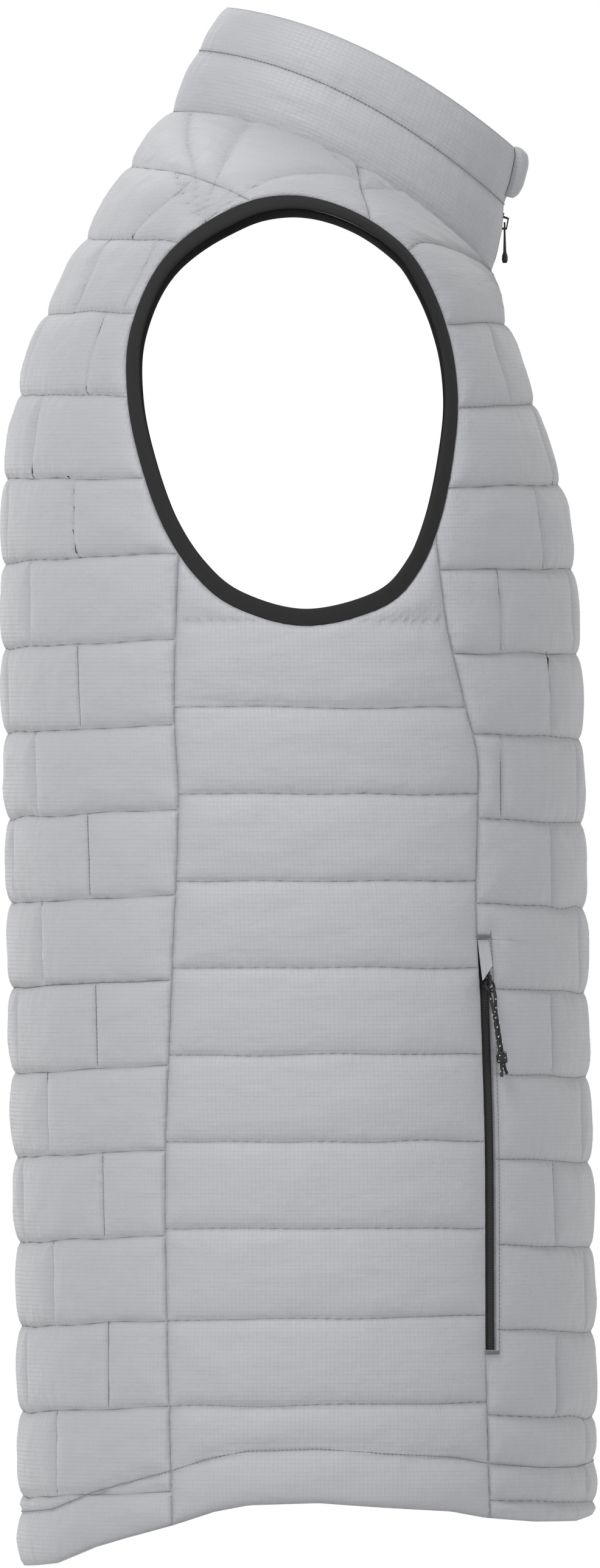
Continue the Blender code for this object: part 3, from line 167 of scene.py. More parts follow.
BODY_SECTIONS = (
    # level, z_back, y_back, z_side, half_width, z_front, y_front, squareness
    (-0.750, -0.7500, 0.1365, -0.7500, 0.2150, -0.7500, -0.1470, 2.30),
    (-0.600, -0.6000, 0.1373, -0.6000, 0.2125, -0.6000, -0.1457, 2.30),
    (-0.450, -0.4500, 0.1412, -0.4500, 0.2105, -0.4500, -0.1425, 2.30),
    (-0.330, -0.3300, 0.1435, -0.3300, 0.2135, -0.3300, -0.1402, 2.30),
    (-0.250, -0.2500, 0.1455, -0.2500, 0.2170, -0.2500, -0.1380, 2.30),
    (-0.180, -0.1800, 0.1450, -0.1810, 0.2190, -0.1900, -0.1327, 2.30),
    (-0.120, -0.1130, 0.1340, -0.1150, 0.2190, -0.1400, -0.1186, 2.30),
    (-0.078, -0.0660, 0.1130, -0.0720, 0.2165, -0.1080, -0.1078, 2.30),
    (-0.050, -0.0370, 0.0970, -0.0440, 0.2085, -0.0900, -0.1013, 2.30),
    (-0.030, -0.0200, 0.0865, -0.0285, 0.1900, -0.0800, -0.0985, 2.25),
    (0.005, -0.0040, 0.0760, -0.0175, 0.1450, -0.0725, -0.0965, 2.15),
    (0.050, 0.0137, 0.0622, -0.0082, 0.0830, -0.0656, -0.0960, 2.05),
)
COLLAR_SECTIONS = (
    # level, z_back, y_back, z_side, half_width, z_front, y_front, squareness
    (0.000, 0.0137, 0.0622, -0.0082, 0.0830, -0.0656, -0.0960, 2.05),
    (0.030, 0.0420, 0.0500, 0.0180, 0.0790, -0.0350, -0.1015, 2.05),
    (0.060, 0.0665, 0.0350, 0.0435, 0.0740, -0.0040, -0.1085, 2.05),
)
HEM_EDGE = (
    # y, z
    (-0.1480, -0.6885),
    (-0.1380, -0.6912),
    (-0.1190, -0.6908),
    (-0.0940, -0.6884),
    (-0.0765, -0.6850),
    (-0.0420, -0.6829),
    (-0.0100, -0.6806),
    (0.0247, -0.6817),
    (0.0420, -0.6850),
    (0.0622, -0.6917),
    (0.0863, -0.6985),
    (0.1016, -0.7033),
    (0.1208, -0.7119),
    (0.1400, -0.7150),
)
ARMHOLE_EDGE = (
    # z, y_back, y_front: the free edge of the binding
    (-0.0458, 0.0351, -0.0299),
    (-0.0671, 0.0631, -0.0546),
    (-0.0976, 0.0769, -0.0686),
    (-0.1281, 0.0780, -0.0732),
    (-0.1586, 0.0717, -0.0702),
    (-0.1891, 0.0607, -0.0634),
    (-0.2120, 0.0461, -0.0534),
    (-0.2272, 0.0275, -0.0378),
)
ARMHOLE_TOP = (0.0024, -0.0369)
ARMHOLE_BOTTOM = (-0.0040, -0.2355)
BACK_SEAM = (
    # z, y
    (-0.7000, 0.0616),
    (-0.6000, 0.0643),
    (-0.5250, 0.0655),
    (-0.4200, 0.0622),
    (-0.3300, 0.0590),
    (-0.2850, 0.0610),
    (-0.2050, 0.0590),
)
FRONT_SEAM = (
    # z, y
    (-0.7000, -0.0950),
    (-0.6000, -0.0926),
    (-0.5200, -0.0924),
    (-0.4300, -0.0900),
    (-0.3800, -0.0877),
    (-0.3150, -0.0888),
    (-0.2800, -0.0815),
    (-0.2400, -0.0727),
    (-0.2000, -0.0680),
)
SHOULDER_SEAM_AT_NECK = -0.0293
SHOULDER_SEAM_AT_ARMHOLE = -0.0360
SHOULDER_BRICKS = (
    # band under this row, y at its lower row, y at its upper row
    (14, 0.0869, 0.0686),
    (14, 0.1098, 0.0930),
    (15, 0.0833, 0.0494),
)
SHOULDER_ROW_AT_ARMHOLE = -0.0110
STRAP_BRICKS = (
    # y at the lower end, y at the upper end, what the upper end meets
    (0.0610, 0.0220, "row"),
    (0.0332, -0.0024, "row"),
    (0.0387, 0.0244, "neck"),
    (0.0110, -0.0275, "seam"),
)
# Where two back rows, a back brick and a front row meet the neck seam
NECK_MARKS = (0.0530, -0.0140, 0.0244, -0.0480)
# Shares of the shoulder seam, from the neck, where the last back and front rows meet it
LAST_ROWS_ON_SEAM = (0.35, 0.55)

# Cross-sections in metres: distance across the piece, then height over the stitch surface
BINDING_PROFILE = (
    (0.00015, 0.0013),
    (0.0018, 0.0018),
    (0.0068, 0.0018),
    (0.0085, 0.0002),
    (0.0068, -0.0014),
    (0.00015, -0.0013),
)
COLLAR_WALL = (
    # share of the height, outer face, inner face
    (0.00, 0.0010, -0.0010),
    (0.14, 0.0023, -0.0012),
    (0.34, 0.0026, -0.0012),
    (0.55, 0.0013, -0.0012),
    (0.74, 0.0024, -0.0012),
    (0.92, 0.0022, -0.0010),
    (1.00, 0.0009, -0.0004),
)
CHIN_GUARD_SIDE = (
    # share of the collar's height, height of the front face over the back face
    (0.62, 0.0020),
    (0.66, 0.0043),
    (0.76, 0.0058),
    (0.88, 0.0060),
    (0.97, 0.0046),
    (1.01, 0.0018),
)

def smooth_columns(table):
    """A function of the first column that passes smoothly through every row of a table."""
    rows = np.array(table, float)
    place, values = rows[:, 0], rows[:, 1:]
    slope = np.diff(values, axis=0) / np.diff(place)[:, None]
    product = slope[:-1] * slope[1:]
    total = np.where(product > 0, slope[:-1] + slope[1:], 1.0)
    inner = np.where(product > 0, 2 * product / total, 0.0)
    bend = np.vstack([slope[:1], inner, slope[-1:]])

    def read(at):
        at = np.clip(np.asarray(at, float), place[0], place[-1])
        i = np.clip(np.searchsorted(place, at) - 1, 0, len(place) - 2)
        width = (place[i + 1] - place[i])[..., None]
        u = (at - place[i])[..., None] / width
        start = (1 + 2 * u) * (1 - u) ** 2 * values[i] + u * (1 - u) ** 2 * width * bend[i]
        end = u * u * (3 - 2 * u) * values[i + 1] + u * u * (u - 1) * width * bend[i + 1]
        return start + end

    return read


def even_turns():
    """The angle round a superellipse at each share of its half girth, as two columns."""
    angle = np.linspace(0, math.pi, 1441)
    across = 0.2150 * np.sin(angle) ** (2 / 2.3)
    along = 0.1420 * np.sign(np.cos(angle)) * np.abs(np.cos(angle)) ** (2 / 2.3)
    step = np.hypot(np.diff(across), np.diff(along))
    run = np.concatenate([[0], np.cumsum(step)])
    return run / run[-1], angle


TURN_SHARE, TURN_ANGLE = even_turns()


class Loft:
    """A hollow form lofted through the rings of a section table."""

    def __init__(self, sections):
        self.read = smooth_columns(sections)
        self.low, self.high = sections[0][0], sections[-1][0]

    def ring(self, level):
        """Middle, reach and lift of a ring: y, depth, half width, z, tilt, hump, squareness."""
        columns = np.moveaxis(self.read(level), -1, 0)
        z_back, y_back, z_side, half, z_front, y_front, square = columns
        middle, depth = (y_back + y_front) / 2, (y_back - y_front) / 2
        height, tilt = (z_back + z_front) / 2, (z_back - z_front) / 2
        return middle, depth, half, height, tilt, z_side - height, square

    def point(self, turn, level):
        turn, level = np.broadcast_arrays(np.asarray(turn, float), np.asarray(level, float))
        turn = (turn + 1) % 2 - 1
        middle, depth, half, height, tilt, hump, square = self.ring(level)
        angle = np.interp(np.abs(turn), TURN_SHARE, TURN_ANGLE)
        share = np.sign(np.cos(angle)) * np.abs(np.cos(angle)) ** (2 / square)
        x = -np.sign(turn) * half * np.abs(np.sin(angle)) ** (2 / square)
        y = middle + depth * share
        z = height + tilt * share + hump * (1 - share**2)
        return np.stack([x, y, z], axis=-1)

    def normal(self, turn, level, step=0.003):
        round_it = self.point(turn + step, level) - self.point(turn - step, level)
        up_it = self.point(turn, level + step) - self.point(turn, level - step)
        out = np.cross(round_it, up_it)
        return out / np.linalg.norm(out, axis=-1, keepdims=True)

    def locate(self, y, z):
        """Turn and level on the wearer's right of what a side view shows at y, z."""
        y, z = np.broadcast_arrays(np.asarray(y, float), np.asarray(z, float))
        low, high = np.full(y.shape, self.low), np.full(y.shape, self.high)
        for _ in range(40):
            level = (low + high) / 2
            middle, depth, _, height, tilt, hump, _ = self.ring(level)
            share = (y - middle) / depth
            above = (height + tilt * share + hump * (1 - share**2) > z) | (np.abs(share) > 1)
            low, high = np.where(above, low, level), np.where(above, level, high)
        middle, depth, _, _, _, _, square = self.ring(low)
        share = np.clip((y - middle) / depth, -1, 1)
        angle = np.arccos(np.sign(share) * np.abs(share) ** (square / 2))
        return np.stack([np.interp(angle, TURN_ANGLE, TURN_SHARE), low], axis=-1)

    def beside_front(self, level, distance):
        """The turn on the wearer's right where a ring is that far from the centre front."""
        _, _, half, _, _, _, square = self.ring(level)
        angle = math.pi - np.arcsin((distance / half) ** (square / 2))
        return np.interp(angle, TURN_ANGLE, TURN_SHARE)


BODY = Loft(BODY_SECTIONS)
COLLAR = Loft(COLLAR_SECTIONS)


def runs_along(points):
    """The length from the first point to each point."""
    return np.concatenate([[0], np.cumsum(np.linalg.norm(np.diff(points, axis=0), axis=1))])


class Line:
    """A line drawn on a loft, with its places given by the real length from its start."""

    def __init__(self, spots, loft=BODY):
        self.spots = np.array(spots, float)
        self.points = loft.point(self.spots[:, 0], self.spots[:, 1])
        self.run = runs_along(self.points)
        self.length = self.run[-1]

    def spot(self, run):
        run = np.asarray(run, float)
        return np.stack([np.interp(run, self.run, c) for c in self.spots.T], axis=-1)

    def at_height(self, z):
        return float(np.interp(z, self.points[:, 2], self.run))


def straight(start, end, count=60):
    share = np.linspace(0, 1, count)[:, None]
    return np.array(start) * (1 - share) + np.array(end) * share


def snapped(run, marks, reach=0.003):
    """The nearest mark to a run where one is close by, or else the run."""
    near = min(marks, key=lambda mark: abs(mark - run), default=run)
    return near if abs(near - run) < reach else run


def closed_curve(controls, per_span=14):
    """A smooth closed curve through control points."""
    controls = np.array(controls)
    before, after, beyond = (np.roll(controls, shift, axis=0) for shift in (1, -1, -2))
    share = np.linspace(0, 1, per_span, endpoint=False)[None, :, None]
    a, b, c, d = (p[:, None] for p in (before, controls, after, beyond))
    curve = 0.5 * (
        2 * b
        + (c - a) * share
        + (2 * a - 5 * b + 4 * c - d) * share**2
        + (3 * b - a - 3 * c + d) * share**3
    )
    return curve.reshape(-1, controls.shape[1])


def armhole_line():
    """The outer edge of the binding, from the shoulder seam to the back, down and round."""
    back = [(y, z) for z, y, _ in ARMHOLE_EDGE]
    front = [(y, z) for z, _, y in reversed(ARMHOLE_EDGE)]
    edge = closed_curve([ARMHOLE_TOP, *back, ARMHOLE_BOTTOM, *front])
    spots = BODY.locate(edge[:, 0], edge[:, 1])
    points = BODY.point(*spots.T)
    ahead = np.roll(points, -1, axis=0) - np.roll(points, 1, axis=0)
    outwards = np.cross(ahead, BODY.normal(*spots.T))
    outwards /= np.linalg.norm(outwards, axis=1, keepdims=True)
    wide = points + outwards * BINDING_WIDTH
    spots = BODY.locate(wide[:, 1], wide[:, 2])
    upper = np.where(wide[:, 2] > -0.06, wide[:, 1], 1.0)
    start = int(np.argmin(np.abs(upper - SHOULDER_SEAM_AT_ARMHOLE)))
    spots = np.roll(spots, -start, axis=0)
    return Line(np.vstack([spots, spots[:1]]))


def hem_levels(turns):
    """The level of the hem edge at each turn."""
    table = np.array(HEM_EDGE)
    level = np.full(np.shape(turns), -0.70)
    for _ in range(3):
        level = np.interp(BODY.point(turns, level)[..., 1], table[:, 0], table[:, 1])
    return level


def bowed_row(inner, outer):
    """A stitch row from the centre line out, level at the centre and bending towards its end."""
    share = np.linspace(0, 1, 60)
    turn = inner[0] + (outer[0] - inner[0]) * share
    level = inner[1] + (outer[1] - inner[1]) * share**2
    return np.column_stack([turn, level])


def even_rows(centre_line, centre_start, edge_line, edge_start, count):
    """Stitch rows one pitch apart from a centre line out, and their runs on the outer edge."""
    first, edge_first = centre_line.at_height(centre_start), edge_line.at_height(edge_start)
    ends = [edge_first + k * ROW_PITCH for k in range(count)]
    inner = [centre_line.spot(first + k * ROW_PITCH) for k in range(count)]
    return [bowed_row(a, edge_line.spot(b)) for a, b in zip(inner, ends)], ends


def between(line, start, end):
    """A line's own spots between two runs."""
    keep = (line.run > start + 1e-7) & (line.run < end - 1e-7)
    return np.vstack([line.spot(start), line.spots[keep], line.spot(end)])


def run_at_y(line, y):
    return float(np.interp(-y, -line.points[:, 1], line.run))


def brick_runs(band, length):
    """Runs from the centre line of a band's upright stitches, offset in every other band."""
    offset = 0.5 if band % 2 else 0.0
    runs = [(j + offset) * BRICK_LENGTH for j in range(4)]
    runs = [run + (BRICK_DRIFT * max(0, 10 - band) if run else 0.0) for run in runs]
    return [run for run in runs if run < length - BRICK_CLEARANCE]


def back_bricks(rows, band):
    """Pairs of runs on a band's lower and upper row, on the right half of the back."""
    low, high = Line(rows[band]), Line(rows[band + 1])
    special = [(a, b) for row, a, b in SHOULDER_BRICKS if row == band]
    if special:
        return [(run_at_y(low, a), run_at_y(high, b)) for a, b in special]
    return [(run, run) for run in brick_runs(band, min(low.length, high.length))]


def front_bricks(rows, band):
    """Pairs of runs on a band's lower and upper row, from the zip out."""
    if band > FRONT_LAST_BRICKS:
        return []
    low, high = Line(rows[band]), Line(rows[band + 1])
    runs = brick_runs(band + 1, min(low.length, high.length))
    in_pocket = POCKET_BANDS[0] <= band <= POCKET_BANDS[1]
    return [(run, run) for run in runs if run and not (in_pocket and run > BRICK_LENGTH * 1.2)]


class Pattern:
    """Every seam line of the right half, with the stations that its two pieces share."""

    def __init__(self):
        self.armhole = armhole_line()
        self.back_corner = self.seam_top(BACK_SEAM, 1)
        self.front_corner = self.seam_top(FRONT_SEAM, -1)
        self.back_seam = self.side_seam(BACK_SEAM, self.back_corner)
        self.front_seam = self.side_seam(FRONT_SEAM, self.front_corner)
        neck_end = float(BODY.beside_front(BODY.high, ZIP_HALF_GAP))
        turns = np.linspace(0, neck_end, 400)
        self.neck = Line(np.column_stack([turns, np.full(400, BODY.high)]))
        self.neck_corner = run_at_y(self.neck, SHOULDER_SEAM_AT_NECK)
        self.shoulder = Line(straight(self.neck.spot(self.neck_corner), self.armhole.spots[0]))
        self.back_rows, self.front_rows = self.rows()
        self.share_stations()

    def seam_top(self, table, side):
        """The armhole's run where a side seam ends."""
        rows, points = np.array(table), self.armhole.points
        seam_y = np.interp(points[:, 2], rows[:, 0], rows[:, 1])
        here = (points[:, 2] < -0.18) & (points[:, 1] * side > 0)
        miss = np.where(here, np.abs(points[:, 1] - seam_y), 1.0)
        return float(self.armhole.run[np.argmin(miss)])

    def side_seam(self, table, corner):
        top = self.armhole.spot(corner)
        top_point = BODY.point(*top)
        z = np.linspace(table[0][0], top_point[2], 240)
        y = smooth_columns(table)(z)[:, 0]
        y = y + (top_point[1] - y[-1]) * np.clip((z - z[-1] + 0.03) / 0.03, 0, 1) ** 2
        spots = BODY.locate(y, z)
        first = int(np.argmax(spots[:, 1] > hem_levels(spots[:, 0]) + 0.001))
        foot = (spots[first, 0], float(hem_levels(spots[first, 0])))
        return Line(np.vstack([[foot], spots[first:-1], [top]]))

    def rows(self):
        """Right halves of the rows across the back and across the front, and their end marks."""
        levels = np.linspace(float(hem_levels(0.0)), BODY.high, 300)
        centre_back = Line(np.column_stack([np.zeros(300), levels]))
        levels = np.linspace(float(hem_levels(1.0)), BODY.high, 300)
        centre_front = Line(np.column_stack([BODY.beside_front(levels, ZIP_HALF_GAP), levels]))
        hole = between(self.armhole, 0, self.back_corner)[::-1]
        edge = Line(np.vstack([self.back_seam.spots, hole[1:]]))
        back, ends = even_rows(centre_back, BACK_ROW_START, edge, BACK_ROW_END_START, BACK_ROWS)
        self.back_ends = ends
        hole = between(self.armhole, self.front_corner, self.armhole.length)
        edge = Line(np.vstack([self.front_seam.spots, hole[1:]]))
        starts = FRONT_ROW_START, FRONT_ROW_END_START
        front, ends = even_rows(centre_front, starts[0], edge, starts[1], FRONT_ROWS)
        self.front_marks = [run for run in ends if run < self.front_seam.length]
        self.front_ends = ends
        self.pocket = [self.front_seam.at_height(z) for z in (POCKET_BOTTOM, POCKET_TOP)]
        front = [self.stopped_at_pocket(row, run) for row, run in zip(front, ends)]
        return back, front

    def in_pocket(self, run):
        return self.pocket[0] < run < self.pocket[1]

    def pocket_edge(self, runs):
        """Spots beside the front seam, across the pocket's opening from it."""
        spots = self.front_seam.spot(runs)
        turn, level = spots[..., 0], spots[..., 1]
        ahead = BODY.point(turn + 0.01, level) - BODY.point(turn, level)
        share = POCKET_WIDTH / np.linalg.norm(ahead, axis=-1) * 0.01
        return np.stack([turn + share, level], axis=-1)

    def stopped_at_pocket(self, row, run):
        return bowed_row(row[0], self.pocket_edge(run)) if self.in_pocket(run) else row

    def share_stations(self):
        """Runs along each shared line where stitches of its pieces meet it."""
        heights = [SIDE_ROW_START + j * SIDE_ROW_PITCH for j in range(SIDE_ROWS + 1)]
        seams = (self.back_seam, self.front_seam)
        self.hem_marks = [seam.at_height(seam.points[0, 2] + HEM_BAND) for seam in seams]
        outside = [run for run in self.front_marks if not self.in_pocket(run)]
        self.side_marks = [
            [snapped(seam.at_height(z), marks) for z in heights]
            for seam, marks in zip(seams, (self.back_ends, outside))
        ]
        run, points = self.armhole.run, self.armhole.points
        low = (run > self.back_corner + 0.004) & (run < self.front_corner - 0.004)
        miss = np.where(low, np.abs(points[:, 2] - heights[-1]), 1.0)
        behind = points[:, 1] > 0
        sides = (behind, ~behind)
        self.side_top = [float(run[np.argmin(np.where(side, miss, 1.0))]) for side in sides]
        crest = Line(between(self.armhole, 0, 0.09))
        self.strap_mark = run_at_y(crest, SHOULDER_ROW_AT_ARMHOLE)
        self.last_row, self.front_last = (share * self.shoulder.length for share in LAST_ROWS_ON_SEAM)
        self.neck_marks = [run_at_y(self.neck, y) for y in NECK_MARKS]


def neck_gaps(turns):
    """How far panel and collar each stop short of the neck line, where they meet at an angle."""
    body = BODY.normal(turns, np.full(len(turns), BODY.high))
    collar = COLLAR.normal(turns, np.full(len(turns), COLLAR.low))
    bend = np.arccos(np.clip(np.sum(body * collar, axis=1), -1, 1))
    return SEAM_GAP / 2 + WALL_OUTSIDE * np.tan(bend / 2)


def pocket_place(cut, run, across, rise):
    """A point over the pocket's opening: up the front seam, across it towards the front, out."""
    spot = cut.front_seam.spot(run)
    edge = cut.pocket_edge(run)
    here = spot + (edge - spot) * across / POCKET_WIDTH
    return BODY.point(*here) + BODY.normal(*here) * rise


def zip_frame(point, above, out):
    """A placing matrix on a zip: +X across it, +Y up along it, +Z out of the cloth."""
    out = Vector(out).normalized()
    across = (Vector(above) - Vector(point)).cross(out).normalized()
    turned = Matrix((across, out.cross(across), out)).transposed().to_4x4()
    return Matrix.Translation(Vector(point)) @ turned


def pocket_frame(cut):
    run, middle = cut.front_seam.at_height(POCKET_SLIDER_HEIGHT), POCKET_WIDTH / 2
    point, above = pocket_place(cut, run, middle, 0.0), pocket_place(cut, run + 0.004, middle, 0.0)
    return zip_frame(point, above, pocket_place(cut, run, middle, 1.0) - point)


def plate_foot(teeth):
    """The height of a slider's bridge foot, a little inside its plate."""
    return teeth[1] + PLATE_THICKNESS


def hanging(place, teeth, tilt):
    """The frame of a pull: its origin on the pin's axis and -Y down the pull."""
    pin = Matrix.Translation((0, 0, plate_foot(teeth) + PIN_HEIGHT))
    return place @ pin @ Matrix.Rotation(-tilt, 4, "X")


def cord_middle(drop):
    """The point between the two strands, so far below the ring's lower bar."""
    share = drop / KNOT_DROP
    return np.array([CORD_LEAN * share, -2 * RING_RADIUS - drop, -CORD_SINK * share])


def cord_path(side):
    """Control points of one strand, from beside the ring's lower bar down to its tail."""
    turn = CORD_RADIUS + RING_WIRE + TRIM_GAP
    bar = -2 * RING_RADIUS
    angles = np.radians((145, 110, 80))
    path = [(0.0, bar - turn * math.cos(a), side * turn * math.sin(a)) for a in angles]
    beside = np.array([side * (CORD_RADIUS + TRIM_GAP / 2), 0, 0])
    clear = KNOT_DROP + KNOT_HALF_LENGTH * 1.3
    path += [cord_middle(drop) + beside for drop in (0.009, 0.018, 0.027, KNOT_DROP, clear)]
    return [*path, cord_middle(TAIL_DROPS[side > 0]) + beside * 2.2]


def studio():
    """The camera, the lights, the backdrop and the floor."""
    reach = LENS * VIEW_HEIGHT / SENSOR
    data = bpy.data.cameras.new("view")
    data.sensor_fit, data.sensor_height, data.lens = "VERTICAL", SENSOR, LENS
    data.clip_end = 4 * reach
    camera = bpy.data.objects.new("view", data)
    bpy.context.scene.collection.objects.link(camera)
    camera.location = (VIEW_PLANE - reach, *VIEW_CENTRE)
    camera.rotation_euler = (math.pi / 2, 0, -math.pi / 2)
    bpy.context.scene.camera = camera
    for name, place, size, watts in LAMPS:
        lamp = bpy.data.lights.new(name, "AREA")
        lamp.size, lamp.energy = size, watts
        obj = bpy.data.objects.new(name, lamp)
        bpy.context.scene.collection.objects.link(obj)
        obj.location, obj.visible_camera = place, False
        aim = Vector(LAMP_AIM) - Vector(place)
        obj.rotation_euler = aim.to_track_quat("-Z", "Y").to_euler()
    bpy.context.scene.view_settings.view_transform = "Standard"
    bpy.context.scene.world = backdrop()
    shape = bmesh.new()
    bmesh.ops.create_circle(shape, cap_ends=True, segments=96, radius=FLOOR_RADIUS)
    bmesh.ops.translate(shape, verts=shape.verts, vec=(0, 0, FLOOR_LEVEL))
    floor = linked("floor", shape)
    pale = Recipe("floor")
    pale.surface({"Base Color": (0.85, 0.85, 0.85, 1.0), "Roughness": 0.9})
    floor.data.materials.append(pale.owner)


def backdrop():
    """White at the horizon, softer light from above and little from below."""
    world = bpy.data.worlds.new("backdrop")
    mix = Recipe(world)
    up = mix.split(mix.node("ShaderNodeTexCoord", {}, {}, "Generated"))[2]
    above = ((up - BAND_HALF) * BAND_SLOPE).limited()
    below = ((up * -1 - BAND_HALF) * BAND_SLOPE).limited()
    glow = 1 - above * DIMMER_ABOVE - below * DIMMER_BELOW
    mix.put(mix.tree.nodes["Background"].inputs["Strength"], glow)
    mix.put(mix.tree.nodes["Background"].inputs["Color"], (1.0, 1.0, 1.0, 1.0))
    return world


class Recipe:
    """A material, or a backdrop, that is put together a node at a time."""

    def __init__(self, owner):
        self.owner = bpy.data.materials.new(owner) if isinstance(owner, str) else owner
        self.owner.use_nodes = True
        self.tree = self.owner.node_tree

    def put(self, socket, value):
        if isinstance(value, Value):
            self.tree.links.new(value.socket, socket)
        else:
            socket.default_value = value

    def node(self, kind, settings, inputs, output=0):
        made = self.tree.nodes.new(kind)
        for name, value in settings.items():
            setattr(made, name, value)
        for name, value in inputs.items():
            self.put(made.inputs[name], value)
        return Value(self, made.outputs[output])

    def surface(self, inputs):
        shader = self.tree.nodes["Principled BSDF"]
        for name, value in inputs.items():
            self.put(shader.inputs[name], value)

    def measured(self, name):
        """A number kept on the cloth under that name."""
        return self.node("ShaderNodeAttribute", {"attribute_name": name}, {}, "Fac")

    def split(self, vector):
        return [self.node("ShaderNodeSeparateXYZ", {}, {0: vector}, i) for i in range(3)]

    def place(self, x, y, z=0.0):
        return self.node("ShaderNodeCombineXYZ", {}, {0: x, 1: y, 2: z})

    def clouds(self, vector, scale=1.0, detail=2.0):
        """Noise from -1 to 1."""
        inputs = {"Vector": vector, "Scale": scale, "Detail": detail}
        return self.node("ShaderNodeTexNoise", {}, inputs, "Fac") * 2 - 1

    def blend(self, share, first, second):
        """A colour between two colours."""
        return self.node("ShaderNodeMix", {"data_type": "RGBA"}, {0: share, 6: first, 7: second}, 2)

    def bumped(self, height):
        return self.node("ShaderNodeBump", {}, {"Strength": 1.0, "Distance": 1.0, "Height": height})


class Value:
    """A socket of a material, with plain arithmetic."""

    def __init__(self, recipe, socket):
        self.recipe, self.socket = recipe, socket

    def maths(self, operation, *others):
        inputs = dict(enumerate((self, *others)))
        return self.recipe.node("ShaderNodeMath", {"operation": operation}, inputs)

    def turned(self, operation, other):
        return self.recipe.node("ShaderNodeMath", {"operation": operation}, {0: other, 1: self})

    def __add__(self, other):
        return self.maths("ADD", other)

    def __sub__(self, other):
        return self.maths("SUBTRACT", other)

    def __mul__(self, other):
        return self.maths("MULTIPLY", other)

    def __truediv__(self, other):
        return self.maths("DIVIDE", other)

    def __rsub__(self, other):
        return self.turned("SUBTRACT", other)

    def __rtruediv__(self, other):
        return self.turned("DIVIDE", other)

    __radd__, __rmul__ = __add__, __mul__

    def fraction(self):
        return self.maths("FRACT")

    def size(self):
        return self.maths("ABSOLUTE")

    def most(self, other):
        return self.maths("MAXIMUM", other)

    def limited(self):
        """Kept from 0 to 1."""
        return self.most(0.0).maths("MINIMUM", 1.0)

    def fading(self, reach):
        """1 at zero, falling off over that reach."""
        return (self / -reach).maths("EXPONENT")


def linked(name, shape):
    """A new object from a shape, smooth but for its sharp edges."""
    mesh = bpy.data.meshes.new(name)
    shape.to_mesh(mesh)
    shape.free()
    mesh.shade_smooth()
    mesh.set_sharp_from_angle(angle=math.radians(70))
    obj = bpy.data.objects.new(name, mesh)
    bpy.context.scene.collection.objects.link(obj)
    return obj


def shell_cloth(name, tint, stitched):
    """Thin woven cloth with a fine raised grid, puckered beside its stitches and darkened along them
    by painted crease shade.
    """
    mix = Recipe(name)
    across, up, _ = mix.split(mix.node("ShaderNodeUVMap", {"uv_map": "Cloth"}, {}))
    ridges = [1 - ((way / WEAVE_PITCH).fraction() - 0.5).size() / WEAVE_WIDTH for way in (across, up)]
    grid = ridges[0].most(ridges[1]).most(0.0)
    wrinkles = mix.clouds(mix.place(across / WRINKLE_SIZE[0], up / WRINKLE_SIZE[1]), 1.0, 3.0)
    height = grid * WEAVE_RISE + wrinkles * WRINKLE_RISE
    shade = grid * WEAVE_SHADE
    if stitched:
        painted_crease = None
        for (kept, wide, high, layer, reach, rise), width in zip(GATHERS, PAINTED_CREASE_WIDTHS):
            near = mix.measured(kept)
            puckers = mix.clouds(mix.place(across / wide, up / high, layer))
            height = height + puckers * near.fading(reach) * rise
            line = near.fading(width)
            painted_crease = line if painted_crease is None else painted_crease.most(line)
        # Painted shade: the cloth's colour darkens along each stitch crease, where shade would fall
        shade = shade + painted_crease * PAINTED_CREASE_SHADE
    light, dark = (tuple(c * share for c in tint) + (1.0,) for share in (1.0, DARK_SHARE))
    mix.surface({
        "Base Color": mix.blend(shade.limited(), light, dark),
        "Roughness": 0.55,
        "Specular IOR Level": 0.35,
        "Sheen Weight": 0.25,
        "Sheen Roughness": 0.45,
        "Normal": mix.bumped(height),
    })
    return mix.owner


def plain_finish(name, colour, roughness, metallic=0.0, grain=0.0, pitch=0.001):
    """A plain finish, with a fine grain where one is given."""
    mix = Recipe(name)
    inputs = {"Base Color": (*colour, 1.0), "Roughness": roughness, "Metallic": metallic}
    if grain:
        where = mix.node("ShaderNodeTexCoord", {}, {}, "Object")
        inputs["Normal"] = mix.bumped(mix.clouds(where, 1 / pitch, 1.0) * grain)
    mix.surface(inputs)
    return mix.owner


def metre_tables():
    """How far each place of the body loft is across from the centre back, and up from the foot."""
    turns, levels = np.linspace(0, 1, 81), np.linspace(BODY.low, BODY.high, 161)
    points = BODY.point(turns[:, None], levels[None])
    across = np.cumsum(np.linalg.norm(np.diff(points, axis=0, prepend=points[:1]), axis=2), axis=0)
    up = np.cumsum(np.linalg.norm(np.diff(points, axis=1, prepend=points[:, :1]), axis=2), axis=1)
    return across, up


ACROSS_TABLE, UP_TABLE = metre_tables()


def cloth_metres(turn, level):
    """Cloth coordinates in metres, for the weave."""
    i = np.clip(np.abs(turn), 0, 1) * 80
    j = np.clip((level - BODY.low) / (BODY.high - BODY.low), 0, 1) * 160
    i0, j0 = np.minimum(i.astype(int), 79), np.minimum(j.astype(int), 159)
    a, b = i - i0, j - j0
    found = []
    for table in (ACROSS_TABLE, UP_TABLE):
        near = table[i0, j0] * (1 - b) + table[i0, j0 + 1] * b
        far = table[i0 + 1, j0] * (1 - b) + table[i0 + 1, j0 + 1] * b
        found.append(near * (1 - a) + far * a)
    return np.column_stack([found[0] * np.sign(turn), found[1]])


def tree_of(lines):
    """A search tree over close points along lines drawn on the body."""
    points = [np.full((1, 3), 9.0)]
    for spots in lines:
        line = Line(spots)
        count = max(2, int(line.length / TREE_STEP))
        points.append(BODY.point(*line.spot(np.linspace(0, line.length, count)).T))
    points = np.vstack(points)
    tree = kdtree.KDTree(len(points))
    for i, point in enumerate(points):
        tree.insert(point, i)
    tree.balance()
    return tree


